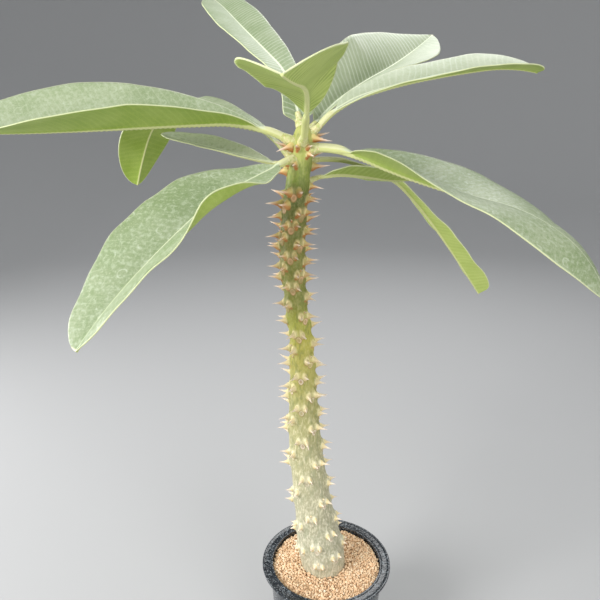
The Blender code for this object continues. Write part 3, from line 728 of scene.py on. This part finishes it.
def spine_shape(foot, towards, length, base):
    """Points (spine, ring, side) about a bent line, foot + L (s w + bend s^2 up).

    Here s runs from the root to the tip. The radius is base (0.68 (1 - s)^0.85 + 0.32 (1 - s)^5), and
    the foot is taller than it is wide. Returns also how far out each point is, and how far round to the
    underside.
    """
    dice = np.random.default_rng(8)
    aside, above = crosswise(towards)
    s = np.concatenate([[-SPINE_ROOT], np.linspace(0, 1, SPINE_RINGS)[:-1]**1.2, [0.99]])
    free = 1 - np.clip(s, 0, 1)
    radius = base[:, None] * (0.68 * free**0.85 + 0.32 * free**5)
    bend = dice.uniform(-SPINE_BEND, SPINE_BEND, len(length))[:, None] * np.clip(s, 0, 1)**2
    line = (foot[:, None] + length[:, None, None]
            * (s[None, :, None] * towards[:, None] + bend[..., None] * above[:, None]))
    angle = round_steps(SPINE_SIDES)
    across = radius[..., None] * np.cos(angle)
    tall = radius[..., None] * np.sin(angle) * (1 + 0.5 * free[:, None]**4)
    points = (line[:, :, None] + across[..., None] * aside[:, None, None]
              + tall[..., None] * above[:, None, None])
    return (points, np.broadcast_to(s[None, :, None], points.shape[:3]),
            np.broadcast_to(0.5 - 0.5 * np.sin(angle), points.shape[:3]))


def spine_horn():
    """Cream, with a pinkish white needle; higher up its foot is orange-brown, with painted shade
    underneath.
    """
    finish, surface, wire = new_finish("spine_horn", {"Roughness": 0.45, "Specular IOR Level": 0.4})
    height = wire.height()
    young = (height + 0.05 * (wire.speckle(12 * MM) - 0.5)).rise(0.27, 0.40)
    out = wire.mark("out")
    old_horn = out.ramp([(0.00, (0.74, 0.64, 0.34)), (0.25, (0.80, 0.66, 0.42)),
                         (0.60, (0.84, 0.72, 0.58)), (1.00, (0.74, 0.60, 0.52))])
    young_horn = out.ramp([(0.00, (0.52, 0.44, 0.16)), (0.20, (0.62, 0.42, 0.18)),
                           (0.45, (0.72, 0.50, 0.34)), (0.75, (0.78, 0.64, 0.54)),
                           (1.00, (0.66, 0.54, 0.48))])
    horn = young.mix(old_horn, young_horn)
    # Painted shade on each spine's underside near its foot, with an orange-brown tint, stronger higher
    # up the trunk
    underside_shade_and_tint = wire.mark("below").rise(0.30, 0.80) * out.rise(0.75, 0.25) * (0.30 + 0.55 * young)
    underside_shade_and_tint = underside_shade_and_tint * (0.6 + 0.8 * wire.speckle(2 * MM, 3.0))
    underside_shade_and_tint.mix(horn, young.mix((0.55, 0.36, 0.12), (0.38, 0.14, 0.035))).feed(surface, "Base Color")
    wire.speckle(0.6 * MM, 2.0, (1, 1, 0.4)).emboss(surface, 0.05 * MM)
    return finish


def add_spines(pairs, groups):
    """All the spines as one mesh, each closed by a fan to its tip."""
    shapes = [np.concatenate(parts) for parts in zip(pairs[:4], third_spines(groups))]
    points, out, below = spine_shape(*shapes)
    count, rings, sides = points.shape[:3]
    each = rings * sides + 1
    tips = points[:, -1].mean(1, keepdims=True)
    flat = np.concatenate([points.reshape(count, -1, 3), tips], 1)
    marks = {name: np.concatenate([values.reshape(count, -1), np.ones((count, 1))], 1)
             for name, values in (("out", out), ("below", below))}
    quads = copies(grid_faces(rings, sides, around=True), each, count)
    last_ring = (rings - 1) * sides + np.arange(sides)
    triangles = copies(fan_faces(last_ring, each - 1), each, count)
    return add_piece("spines", flat.reshape(-1, 3), quads, triangles, [spine_horn()], marks)


GROUPS = spine_groups()
PAIRS = spine_pairs(GROUPS)
spines = add_spines(PAIRS, GROUPS)
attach(spines, "root")

# The trunk's skin: olive green at the top, yellow-green half way and silvery cream at the old, flaky
# base. It rises in a pale buttress under every spine and keeps a round scar where each old leaf stood.
SKIN_BOTTOM = 88 * MM
SKIN_ROWS = 720
SKIN_COLUMNS = 136
SWELL_START = 101.5 * MM
SWELL_RAMP = 6 * MM
# Place and width of the painted shade under each spine
SPINE_SHADE_ASIDE = 0.6 * MM
SPINE_SHADE_BELOW = 2.6 * MM
SPINE_SHADE_WIDTH = 1.5 * MM
SCAR_BELOW = 3.7 * MM
SCAR_RADIUS = 2.1 * MM
SCAR_RELIEF = 0.35 * MM
SCAR_RIM = 0.18
RIDGE_DEPTH = 0.13 * MM
DOME = 2.5 * MM
DOME_TOP = 0.2 * MM


def skin_grid():
    """Heights up the trunk and angles round it."""
    rows = np.linspace(SKIN_BOTTOM, CROWN, SKIN_ROWS)[:, None]
    turns = np.linspace(0, 2 * np.pi, SKIN_COLUMNS, endpoint=False)[None]
    return rows, turns


def spread_about(rows, turns, z, turn):
    """Distance round the trunk and distance up it from a place on it, in metres."""
    sideways = ((turns - turn + np.pi) % (2 * np.pi) - np.pi) * trunk_radius(np.array(z))
    return sideways, rows - z


def buttresses(rows, turns, pairs):
    """The highest buttress at each point, from 0 to 1, and how much painted shade lies there.

    A buttress is (1 - d)^1.8 with d^2 = (x / w)^2 + (u / l)^2, so its flanks are hollow. Here x is the
    distance from its crest, which leans towards the pair's middle as it rises, and l is longer above the
    spine. The painted shade is exp(-(d / width)^2) about a place below the spine.
    """
    crest = np.zeros((SKIN_ROWS, SKIN_COLUMNS))
    spine_shade = np.zeros_like(crest)
    for z, turn, side in zip(*pairs[4:]):
        across, up = spread_about(rows, turns, z, turn)
        lean = side * BUTTRESS_LEAN * np.clip(up / BUTTRESS_ABOVE, 0, 1.3)
        length = np.where(up > 0, BUTTRESS_ABOVE, BUTTRESS_BELOW)
        away = np.hypot((across + lean) / BUTTRESS_HALF_WIDTH, up / length)
        crest = np.maximum(crest, np.clip(1 - away, 0, 1)**1.8)
        # Painted shade a little below each spine
        away = np.hypot(across - side * SPINE_SHADE_ASIDE, up + SPINE_SHADE_BELOW)
        spine_shade = np.maximum(spine_shade, np.exp(-(away / SPINE_SHADE_WIDTH)**2))
    return crest, spine_shade


def leaf_scars(rows, turns, groups):
    """Roundish scars below the pairs: 1.5 - d / radius, kept from 0 to 1, so a half at their edge."""
    inside = np.zeros((SKIN_ROWS, SKIN_COLUMNS))
    for z, azimuth in groups:
        side, up = spread_about(rows, turns, z - SCAR_BELOW, np.radians(azimuth))
        apart = np.hypot(side, 0.8 * up) + 0.15 * np.abs(side)
        inside = np.maximum(inside, 1.5 - apart / SCAR_RADIUS)
    return np.clip(inside, 0, 1)


def skin_waves(rows, turns):
    """Fine lengthwise ridges: sines round the trunk that wander as they rise, deeper on the old base."""
    old = np.interp(rows, (0.10, 0.20, 0.30), (1.4, 0.8, 0.3))
    wander = 2.0 * np.sin(rows * 41) + 1.3 * np.sin(rows * 97 + 1)
    fine = np.sin(17 * turns + wander) + 0.7 * np.sin(29 * turns - 1.7 * wander + rows * 60)
    knots = 0.8 * np.sin(11 * turns + rows * 330) * np.sin(rows * 510 + 3 * turns)
    return RIDGE_DEPTH * old * (fine + knots) / 2.5


def bark():
    """Silvery cream, yellow-green, then olive with height; paler where it swells; painted shade below
    spines.

    Its round scars are cream at the base and tan higher up, each with a brown ring and middle.
    """
    finish, surface, wire = new_finish("trunk_skin", {"Specular IOR Level": 0.35})
    height = wire.height()
    patches = wire.speckle(14 * MM, 3.0, (1, 1, 0.5))
    level = (height + 0.04 * (patches - 0.5) - 0.10) / 0.34
    skin = level.ramp([
        (0.00, (0.46, 0.43, 0.30)), (0.09, (0.36, 0.345, 0.23)), (0.20, (0.39, 0.37, 0.235)),
        (0.31, (0.40, 0.38, 0.195)), (0.40, (0.35, 0.335, 0.13)), (0.50, (0.41, 0.38, 0.10)),
        (0.56, (0.46, 0.42, 0.08)), (0.62, (0.35, 0.36, 0.055)), (0.68, (0.21, 0.22, 0.04)),
        (0.78, (0.16, 0.165, 0.034)), (0.87, (0.10, 0.12, 0.025)), (0.93, (0.20, 0.26, 0.045)),
        (1.00, (0.40, 0.42, 0.11))])
    pale = level.ramp([
        (0.00, (0.78, 0.74, 0.58)), (0.30, (0.80, 0.74, 0.50)), (0.52, (0.82, 0.72, 0.38)),
        (0.68, (0.76, 0.64, 0.34)), (0.84, (0.68, 0.53, 0.26)), (1.00, (0.62, 0.55, 0.28))])
    flake = wire.speckle(1.3 * MM, 5.0, (1, 1, 0.6))
    streak = wire.speckle(1.6 * MM, 4.0, (1, 1, 0.35)).rise(0.50, 0.64)
    streaked = streak * (0.08 + 0.37 * height.rise(0.29, 0.20))
    flaked = flake.rise(0.42, 0.60) * (0.12 + 0.23 * height.rise(0.26, 0.11))
    skin = (streaked + flaked).mix(skin, pale)
    dark = wire.speckle(3.0 * MM, 4.0, (1, 1, 0.4)).rise(0.50, 0.62)
    dark = dark * (0.45 - 0.10 * height.rise(0.24, 0.13))
    skin = dark.mix(skin, height.rise(0.14, 0.28).mix((0.30, 0.32, 0.20), (0.16, 0.19, 0.05)))
    swell = wire.mark("swell").rise(0.30, 1.0) * (0.10 + 0.40 * wire.speckle(2.5 * MM, 3.0))
    skin = swell.mix(skin, pale)
    crest = (wire.mark("crest") + 0.20 * (flake - 0.5)).rise(0.08, 0.42)
    skin = crest.mix(skin, pale)
    # Painted shade under each spine: pale brown low on the trunk, dark brown higher up
    spine_shade = wire.mark("spine_shade") * (0.5 + 0.9 * wire.speckle(1.5 * MM))
    spine_shade_colour = height.rise(0.20, 0.38).mix((0.50, 0.40, 0.17), (0.34, 0.13, 0.03))
    skin = (spine_shade.rise(0.25, 0.80) * (0.15 + 0.80 * height.rise(0.14, 0.36))).mix(skin, spine_shade_colour)
    ragged = wire.mark("scar") + 0.22 * (flake - 0.5)
    outline = ragged.rise(0.24, 0.42) * ragged.rise(0.68, 0.50)
    skin = (outline * 0.65 * height.rise(0.13, 0.30)).mix(skin, (0.36, 0.19, 0.07))
    scar_colour = height.rise(0.24, 0.36).mix((0.86, 0.75, 0.60), (0.66, 0.38, 0.22))
    scar_colour = (flake.rise(0.45, 0.70) * 0.35).mix(scar_colour, (0.50, 0.33, 0.18))
    scar_colour = (ragged.rise(0.90, 1.02) * 0.7).mix(scar_colour, (0.40, 0.20, 0.09))
    clear = 0.35 + 0.65 * wire.speckle(9 * MM, 1.0).rise(0.42, 0.60)
    worn = clear * ragged.rise(0.44, 0.70) * (0.75 - 0.25 * height.rise(0.20, 0.12))
    worn.mix(skin, scar_colour).feed(surface, "Base Color")
    (0.62 - 0.12 * streak).feed(surface, "Roughness")
    (flake + 0.6 * wire.speckle(2.2 * MM, 2.0)).emboss(surface, 0.2 * MM)
    return finish


def add_trunk(pairs, groups):
    """The trunk's middle plus, in each direction, its radius, swellings, buttresses, scars and ridges.

    The last rows are drawn in over the dome of the crown, by the square root of the height left.
    """
    rows, turns = skin_grid()
    crest, spine_shade = buttresses(rows, turns, pairs)
    scar = leaf_scars(rows, turns, groups)
    bare = np.clip((rows - SWELL_START) / SWELL_RAMP, 0, 1)
    rim = np.exp(-((scar - 0.5) / SCAR_RIM)**2)
    swell = tubercle_swell(rows, turns, groups)
    radius = (trunk_radius(rows) + bare * (swell + SCAR_RELIEF * (0.4 * scar + rim)
                                           + BUTTRESS_HEIGHT * share_at(rows, BUTTRESS_SHARE_AT) * crest)
              + skin_waves(rows, turns))
    radius *= np.sqrt(np.clip((CROWN + DOME_TOP - rows) / DOME, 0.01, 1))
    around = np.stack([np.cos(turns), np.sin(turns), 0 * turns], -1)
    points = (trunk_centre(rows[:, 0])[:, None] + radius[..., None] * around).reshape(-1, 3)
    ends = [trunk_centre(SKIN_BOTTOM), trunk_centre(CROWN)]
    marks = {name: np.append(values * bare, [0, 0])
             for name, values in (("crest", crest), ("spine_shade", spine_shade), ("scar", scar),
                                  ("swell", swell / TUBERCLE_HEIGHT))}
    return add_piece("trunk_skin", np.vstack([points, ends]),
                     grid_faces(SKIN_ROWS, SKIN_COLUMNS, around=True),
                     end_fans(len(points), SKIN_COLUMNS), [bark()], marks)


trunk = add_trunk(PAIRS, GROUPS)
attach(trunk, "root")
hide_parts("trunk")

# Leaf bases: each petiole rises from a short swollen stump of the trunk, green and smooth, which runs
# out inside the petiole so that the two flow into each other.
STUMP_DEPTH = 3.5 * MM
STUMP_BULGE = 1.0 * MM
STUMP_SIDES = 28
STUMP_ROWS = 12
# Its radius, in stalks, at stations along it
STUMP_SHAPE = ((0.0, 0.35, 0.6, 0.85, 1.0), (1.3, 1.55, 1.30, 1.06, 0.90))
STUMP_REACH = 8.0 * MM


def stump(leaf):
    """A tube from the trunk's heart to inside the petiole, pulled by a point just behind the foot."""
    line, forward, _ = midrib(leaf, np.array([0, STUMP_REACH / (leaf["length"] * MM)]))
    heart = trunk_centre(np.array(leaf["height"] * MM - STUMP_DEPTH))
    t = np.linspace(0, 1, STUMP_ROWS)[:, None]
    path = pulled(heart, line[0] - forward[0] * STUMP_BULGE, line[1], t)
    way = np.gradient(path, axis=0)
    aside, above = crosswise(way / np.linalg.norm(way, axis=-1, keepdims=True))
    shares, swells = (np.array(row) for row in STUMP_SHAPE)
    radius = leaf["stalk"] * MM * smooth_through(t[:, 0], shares, swells)
    angle = round_steps(STUMP_SIDES)
    ring = np.cos(angle)[None, :, None] * aside[:, None] + np.sin(angle)[None, :, None] * above[:, None]
    return (path[:, None] + radius[:, None, None] * ring).reshape(-1, 3)


def young_skin():
    """The crown's smooth skin: green, warming to yellow and brown in the creases."""
    finish, surface, wire = new_finish("crown_skin", {"Roughness": 0.5, "Specular IOR Level": 0.4})
    patch = wire.speckle(3.5 * MM, 3.0)
    fine = wire.speckle(0.8 * MM, 2.0, (1, 1, 0.4))
    skin = patch.rise(0.35, 0.62).mix((0.42, 0.47, 0.16), (0.60, 0.60, 0.30))
    skin = (wire.speckle(2.2 * MM, 3.0).rise(0.52, 0.62) * 0.6).mix(skin, (0.74, 0.66, 0.42))
    (fine.rise(0.50, 0.68) * 0.45).mix(skin, (0.46, 0.27, 0.09)).feed(surface, "Base Color")
    (patch + 0.5 * fine).emboss(surface, 0.2 * MM)
    return finish


def add_stumps():
    """One stump for each leaf, as one mesh."""
    shapes = [stump(leaf) for leaf in LEAVES.values()]
    quads = copies(grid_faces(STUMP_ROWS, STUMP_SIDES, around=True), len(shapes[0]), len(shapes))
    return add_piece("leaf_stumps", np.vstack(shapes), quads, NO_TRIANGLES, [young_skin()])


stumps = add_stumps()
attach(stumps, "root")

# The leaves: thin leathery blades folded along a pale midrib, which is a thick rib on the underside
# and runs back into a round petiole. Fine side veins run out to the margin, close and parallel.
ROW_STEP = 0.62 * MM
LEAF_COLUMNS = 37
# Above 1, it crowds the columns towards the midrib
COLUMN_CROWDING = 1.35
LEAF_ROOT = 1.0 * MM
BLADE = 0.7 * MM
BLADE_TIP = 0.7 * MM
RIB_TIP = 0.8 * MM
WIDEST_RIB = 0.35
THINNEST_RIB = 0.1 * MM
# The margin's waves and the finer flutter on them, counted along the leaf
WAVES = 3.2
FLUTTERS = 7.3
WAVE_FULL_WIDTH = 8 * MM
OPENS_FROM = 0.65
OPENS_OVER = 7 * MM
OPENS_OVER_PETIOLE = 0.35
CREASE = 0.7 * MM
CURL_FROM = 0.50
CURL_OVER = 0.30
CAMBER = 0.035
VEIN_SPACING = 4.4 * MM
VEIN_SLANT = 0.42
VEIN_START = 3 * MM
VEIN_RELIEF = 0.03 * MM
# The rib's slight swellings below, and half the width of the pale line above, from foot to tip
SWELL_SPACING = 3.0 * MM
SWELL_DEPTH = 0.10
RIB_LINE = (1.25 * MM, 0.28 * MM)


def ease(t):
    """A step from 0 to 1 that starts and ends level: t^2 (3 - 2 t)."""
    return t**2 * (3 - 2 * t)


def blend(first, second, share):
    """First turning into second in straight proportion."""
    return first * (1 - share) + second * share


def leaf_axes(leaf, shares):
    """The midrib's points, and the leaf's own right and up there, turned about it by the roll."""
    centre, forward, azimuth = midrib(leaf, shares)
    right = np.stack([np.sin(azimuth), -np.cos(azimuth), 0 * azimuth], -1)
    up = np.cross(right, forward)
    roll = np.radians(along(shares, leaf["roll"]))[:, None]
    return centre, right * np.cos(roll) + up * np.sin(roll), up * np.cos(roll) - right * np.sin(roll)


def outwards(spread, slope):
    """The sum of a slope's small steps from the midrib, where spread is 0, out to each point."""
    steps = (slope[:, 1:] + slope[:, :-1]) / 2 * np.diff(np.abs(spread))[None]
    total = np.concatenate([np.zeros((len(slope), 1)), np.cumsum(steps, 1)], 1)
    return total - total[:, len(spread) // 2][:, None]


def blade_section(leaf, shares, spread, number):
    """Upper and lower points (right, up) across the blade at each station, and its finish's marks.

    Across: w v cos(fold), with v from -1 to 1. Up: |w v| sin(fold), rounded in the crease, plus a slight
    camber, the margin's waves times v^2 and the veins' relief. Where the left margin curls, the slope
    goes on from the fold, and the blade is the sum of its small steps. The lower face lies one blade's
    thickness below, square to the blade, with a rib under its middle: the stalk's radius there times
    (1 - (x / r)^2)^1.2, r being half the rib's width.
    """
    fold = np.radians(along(shares, leaf["fold"]))[:, None]
    width = np.maximum(half_width(leaf, shares), BLADE_TIP)[:, None]
    stalk = blend(leaf["stalk"] * MM, RIB_TIP, shares)[:, None]
    rib = np.minimum(stalk, WIDEST_RIB * width)
    side = np.sign(spread)[None]
    out = np.abs(spread)[None]
    reach = width * out
    run = shares[:, None] * leaf["length"] * MM
    vein = (run - VEIN_SLANT * reach) / VEIN_SPACING + 0.25 * side
    wave = np.sin(2 * np.pi * WAVES * shares[:, None] + side)
    flutter = np.sin(2 * np.pi * FLUTTERS * shares[:, None] + 2 * side + number)
    ripple = leaf["wave"] * MM * (wave + 0.3 * flutter) * out**2
    ripple = ripple * np.minimum(1, width / WAVE_FULL_WIDTH)
    crease = np.sqrt(reach**2 + CREASE**2) - CREASE
    turned_up = np.where(side < 0, ease(np.clip((out - CURL_FROM) / CURL_OVER, 0, 1)), 0)
    curl = np.array(leaf.get("curl", (0, 0, 0)))
    curl = smooth_through(np.clip(shares, 0, 1), np.linspace(0, 1, len(curl)), curl)
    bend = fold + np.radians(curl)[:, None] * turned_up
    bow = CAMBER * width * 4 * out * (1 - out)
    ridge = VEIN_RELIEF * (0.3 + leaf["veined"]) * np.cos(2 * np.pi * vein)
    ridge = ridge * np.clip(reach / VEIN_START, 0, 1) * (1 - out**6)
    curled_up = width * outwards(spread, np.sin(bend) - np.sin(fold))
    curled_in = width * outwards(spread, np.cos(bend) - np.cos(fold))
    lift = crease * np.sin(fold) + ripple + bow + ridge + curled_up
    across = (reach * np.cos(fold) + curled_in) * side
    swell = 1 + SWELL_DEPTH * np.cos(2 * np.pi * run / SWELL_SPACING)
    round_rib = np.clip(1 - (reach / np.maximum(rib, THINNEST_RIB))**2, 0, 1)**1.2
    under = BLADE + stalk * swell * round_rib
    tilt = bend * side
    upper = np.stack([across, lift], -1)
    lower = np.stack([across + BLADE * np.sin(tilt), lift - under * np.cos(tilt) - 1.6 * ridge], -1)
    line = blend(*RIB_LINE, shares[:, None])
    marks = {"reach": reach, "edge": width - reach, "vein": vein, "line": line + 0 * reach,
             "share": shares[:, None] + 0 * reach}
    return upper, lower, marks


def leaf_faces(rows, columns):
    """Faces of the upper side, the lower side, the two margins and the two ends, all facing out."""
    one_side = grid_faces(rows, columns)
    under = rows * columns
    i = np.arange(rows - 1) * columns
    left = np.stack([i, i + columns, under + i + columns, under + i], -1)
    right = np.stack([i, under + i, under + i + columns, i + columns], -1) + columns - 1
    j = np.arange(columns - 1)
    foot = np.stack([j, under + j, under + j + 1, j + 1], -1)
    tip = np.stack([j, j + 1, under + j + 1, under + j], -1) + (rows - 1) * columns
    lower = np.vstack([under + one_side[:, ::-1], left, right, foot, tip])
    return np.vstack([one_side, lower]), len(one_side)


def add_leaf(name, leaf, number, finishes):
    """The round petiole turns into the blade's section by a smooth step along the leaf."""
    rows = int(leaf["length"] * MM / ROW_STEP)
    shares = np.linspace(-LEAF_ROOT / (leaf["length"] * MM), 1, rows)
    even = np.linspace(-1, 1, LEAF_COLUMNS)
    spread = np.sign(even) * np.abs(even)**COLUMN_CROWDING
    upper, lower, marks = blade_section(leaf, shares, spread, number)
    turn = np.radians(180 - (np.arange(LEAF_COLUMNS) + 0.5) * 180 / LEAF_COLUMNS)
    circle = leaf["stalk"] * MM * np.stack([np.cos(turn), np.sin(turn)], -1)[None]
    petiole = leaf["petiole"] * MM
    run = shares * leaf["length"] * MM
    opened = (run - OPENS_FROM * petiole) / (OPENS_OVER + OPENS_OVER_PETIOLE * petiole)
    opened = ease(np.clip(opened, 0, 1))[:, None, None]
    upper = blend(circle, upper, opened)
    lower = blend(circle * (1, -1), lower, opened)
    centre, right, up = leaf_axes(leaf, shares)
    faces = [centre[:, None] + part[..., :1] * right[:, None] + part[..., 1:] * up[:, None]
             for part in (upper, lower)]
    points = np.concatenate(faces).reshape(-1, 3)
    marks["opened"] = opened[..., 0] + 0 * marks["reach"]
    for mark in ("dew", "tone", "under", "veined"):
        marks[mark] = leaf[mark] + 0 * marks["reach"]
    marks = {mark: np.concatenate([values, values]) for mark, values in marks.items()}
    quads, upper_count = leaf_faces(rows, LEAF_COLUMNS)
    second = np.arange(len(quads)) >= upper_count
    return add_piece(name, points, quads, NO_TRIANGLES, finishes, marks, second)


def vein_lines(wire):
    """1 along each side vein and 0 half way between them: 0.5 + 0.5 cos(2 pi n), n counting the veins.

    A little noise in n makes their spacing uneven.
    """
    count = wire.mark("vein") + 0.9 * wire.speckle(16 * MM, 1.0)
    return 0.5 + 0.5 * wire.math("COSINE", count * (2 * np.pi))


def leaf_upper():
    """Sage green with a waxy bloom, flecks and dried drops; side veins, midrib and margin are pale."""
    finish, surface, wire = new_finish("leaf_upper", {"Specular IOR Level": 0.45})
    veined = wire.mark("veined")
    # The tone is partly the leaf's own paleness and partly painted light, set paler on leaves that catch
    # more light
    tone = wire.speckle(22 * MM, 3.0).rise(0.3, 0.7) * 0.35 + 0.65 * wire.mark("tone")
    green = tone.mix((0.195, 0.26, 0.115), (0.41, 0.45, 0.31))
    grain = wire.speckle(0.8 * MM, 3.0)
    fleck = wire.speckle(2.4 * MM, 5.0)
    green = (grain.rise(0.42, 0.72) * 0.30).mix(green, (0.47, 0.53, 0.38))
    dew = wire.mark("dew")
    green = (fleck.rise(0.52, 0.64) * (0.10 + 0.35 * dew)).mix(green, (0.48, 0.54, 0.39))
    green = (fleck.rise(0.47, 0.36) * (0.15 + 0.35 * dew)).mix(green, (0.17, 0.25, 0.09))
    veins = vein_lines(wire)
    green = ((1 - veins) * 0.25 * veined).mix(green, (0.20, 0.29, 0.13))
    faint = 0.4 + 0.6 * wire.speckle(14 * MM, 3.0).rise(0.35, 0.62)
    green = (veins**9 * faint * (0.08 + 0.60 * veined)).mix(green, (0.60, 0.66, 0.50))
    spot = wire.node("ShaderNodeTexVoronoi", {},
                     {"Vector": wire.shaken_place(5 * MM, 2.5 * MM), "Scale": 110.0}, "Distance")
    ring = spot.rise(0.24, 0.29) * spot.rise(0.37, 0.31) * wire.speckle(9 * MM).rise(0.50, 0.62)
    drops = wire.speckle(1.3 * MM, 1.0).rise(0.68, 0.74)
    green = ((ring + 0.7 * drops) * dew * 0.4).mix(green, (0.68, 0.73, 0.59))
    margin = wire.mark("edge").rise(0.5 * MM, 0.1 * MM)
    green = (margin * 0.6).mix(green, (0.66, 0.68, 0.45))
    rib = (wire.mark("reach") / wire.mark("line")).rise(0.95, 0.6) * 0.85
    green = rib.mix(green, veined.mix((0.58, 0.63, 0.42), (0.78, 0.83, 0.62)))
    green = wire.mark("share").rise(0.991, 0.997).mix(green, (0.72, 0.70, 0.45))
    wire.mark("opened").rise(0.50, 0.10).mix(green, (0.60, 0.60, 0.32)).feed(surface, "Base Color")
    (0.38 + 0.2 * grain).feed(surface, "Roughness")
    (grain + 0.5 * fleck + veins * veined).emboss(surface, 0.06 * MM)
    return finish


def leaf_under():
    """Yellow-green, duller than above, with darker lines between its veins and a thick yellow rib."""
    finish, surface, wire = new_finish("leaf_under", {"Specular IOR Level": 0.35})
    # The paleness is partly the underside's own colour and partly painted light: light shining through
    # the blade, set paler on leaves whose undersides catch more light
    pale = wire.speckle(18 * MM, 3.0).rise(0.3, 0.7) * 0.25 + 0.75 * wire.mark("under")
    green = pale.mix((0.21, 0.32, 0.03), (0.47, 0.57, 0.15))
    grain = wire.speckle(0.8 * MM, 2.0)
    green = (grain.rise(0.45, 0.75) * 0.3).mix(green, pale.mix((0.40, 0.52, 0.07), (0.60, 0.64, 0.28)))
    veins = vein_lines(wire)
    veined = wire.mark("veined")
    patch = wire.speckle(20 * MM, 2.0).rise(0.40, 0.60)
    green = ((1 - veins)**10 * 0.75 * patch * veined).mix(green, (0.13, 0.21, 0.02))
    vein_colour = pale.mix((0.44, 0.55, 0.09), (0.64, 0.67, 0.32))
    green = (veins**5 * (0.1 + 0.3 * veined)).mix(green, vein_colour)
    margin = wire.mark("edge").rise(0.8 * MM, 0.2 * MM)
    green = (margin * 0.8).mix(green, (0.68, 0.71, 0.44))
    rib = (wire.mark("reach") / wire.mark("line")).rise(1.7, 1.2)
    green = rib.mix(green, (0.60, 0.63, 0.28))
    wire.mark("opened").rise(0.50, 0.10).mix(green, (0.56, 0.58, 0.24)).feed(surface, "Base Color")
    (0.5 + 0.15 * grain).feed(surface, "Roughness")
    (grain + veined * veins**5).emboss(surface, 0.06 * MM)
    return finish


LEAF_FINISHES = [leaf_upper(), leaf_under()]
for number, (name, leaf) in enumerate(LEAVES.items()):
    blade = add_leaf(name.replace("leaf", "blade"), leaf, number, LEAF_FINISHES)
    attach(blade, "root")
    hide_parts(name)

# The studio: a pale floor that sweeps up into a round wall, open to an even pale sky, with a large soft
# light above to the left, one behind for the glow on the leaves, and weak ones in front and to the left.
FLOOR_FLAT_RADIUS = 1.6
SWEEP_RADIUS = 1.4
SWEEP_STEPS = 25
WALL_HEIGHT = 3.2
WALL_SIDES = 96
FLOOR_COLOUR = (0.42, 0.42, 0.42)
SKY = (0.92, 0.96, 1.0, 1)
SKY_STRENGTH = 0.62
# Name, place, width and power of each
LIGHTS = (("key", (-0.95, -0.75, 1.05), 0.7, 21), ("glow", (0.35, 0.8, 1.3), 0.9, 10),
          ("front", (0.7, -1.2, 0.45), 0.8, 11), ("side", (-1.15, 0.25, 0.40), 0.6, 9))
AIM = Vector((-0.02, 0.0, 0.38))


def add_backdrop():
    """A bowl: flat to the sweep's start, a quarter circle, then a wall, all turned about Z."""
    angle = np.linspace(0, np.pi / 2, SWEEP_STEPS)
    sweep = FLOOR_FLAT_RADIUS + SWEEP_RADIUS * np.sin(angle)
    radius = np.append(sweep, FLOOR_FLAT_RADIUS + SWEEP_RADIUS)[:, None]
    height = np.append(SWEEP_RADIUS * (1 - np.cos(angle)), WALL_HEIGHT)[:, None]
    turn = round_steps(WALL_SIDES)
    rings = np.stack([radius * np.cos(turn), radius * np.sin(turn), height + 0 * turn], -1)
    points = np.vstack([rings.reshape(-1, 3), [[0, 0, 0]]])
    quads = grid_faces(len(radius), WALL_SIDES, around=True)[:, ::-1]
    middle = fan_faces(np.arange(WALL_SIDES), len(points) - 1)
    paint = new_finish("backdrop_paint", {"Base Color": (*FLOOR_COLOUR, 1), "Roughness": 0.9})[0]
    add_piece("backdrop", points, quads, middle, [paint])


def add_lights():
    """The even sky, and round lights that face the plant."""
    world = bpy.data.worlds.new("sky")
    world.use_nodes = True
    sky = world.node_tree.nodes["Background"]
    sky.inputs["Color"].default_value = SKY
    sky.inputs["Strength"].default_value = SKY_STRENGTH
    bpy.context.scene.world = world
    for name, place, size, power in LIGHTS:
        lamp = bpy.data.lights.new(name, "AREA")
        lamp.shape = "DISK"
        lamp.size = size
        lamp.energy = power
        holder = bpy.data.objects.new(name, lamp)
        holder.location = place
        holder.rotation_euler = (AIM - Vector(place)).to_track_quat("-Z", "Y").to_euler()
        bpy.context.scene.collection.objects.link(holder)


add_backdrop()
add_lights()
bpy.context.scene.view_settings.view_transform = "Standard"

# The camera stands in front of the plant, a little above its crown, and looks down at the pot.
CAMERA_PLACE = (-0.0216, -0.409, 0.457)
CAMERA_PITCH = 17.8
CAMERA_LENS = 36.12
CAMERA_SENSOR = 36
CAMERA_NEAREST = 0.01

camera = bpy.data.objects.new("camera", bpy.data.cameras.new("camera"))
camera.data.sensor_width = CAMERA_SENSOR
camera.data.lens = CAMERA_LENS
camera.data.clip_start = CAMERA_NEAREST
camera.location = CAMERA_PLACE
camera.rotation_euler = (np.radians(90 - CAMERA_PITCH), 0, 0)
bpy.context.scene.collection.objects.link(camera)
bpy.context.scene.camera = camera
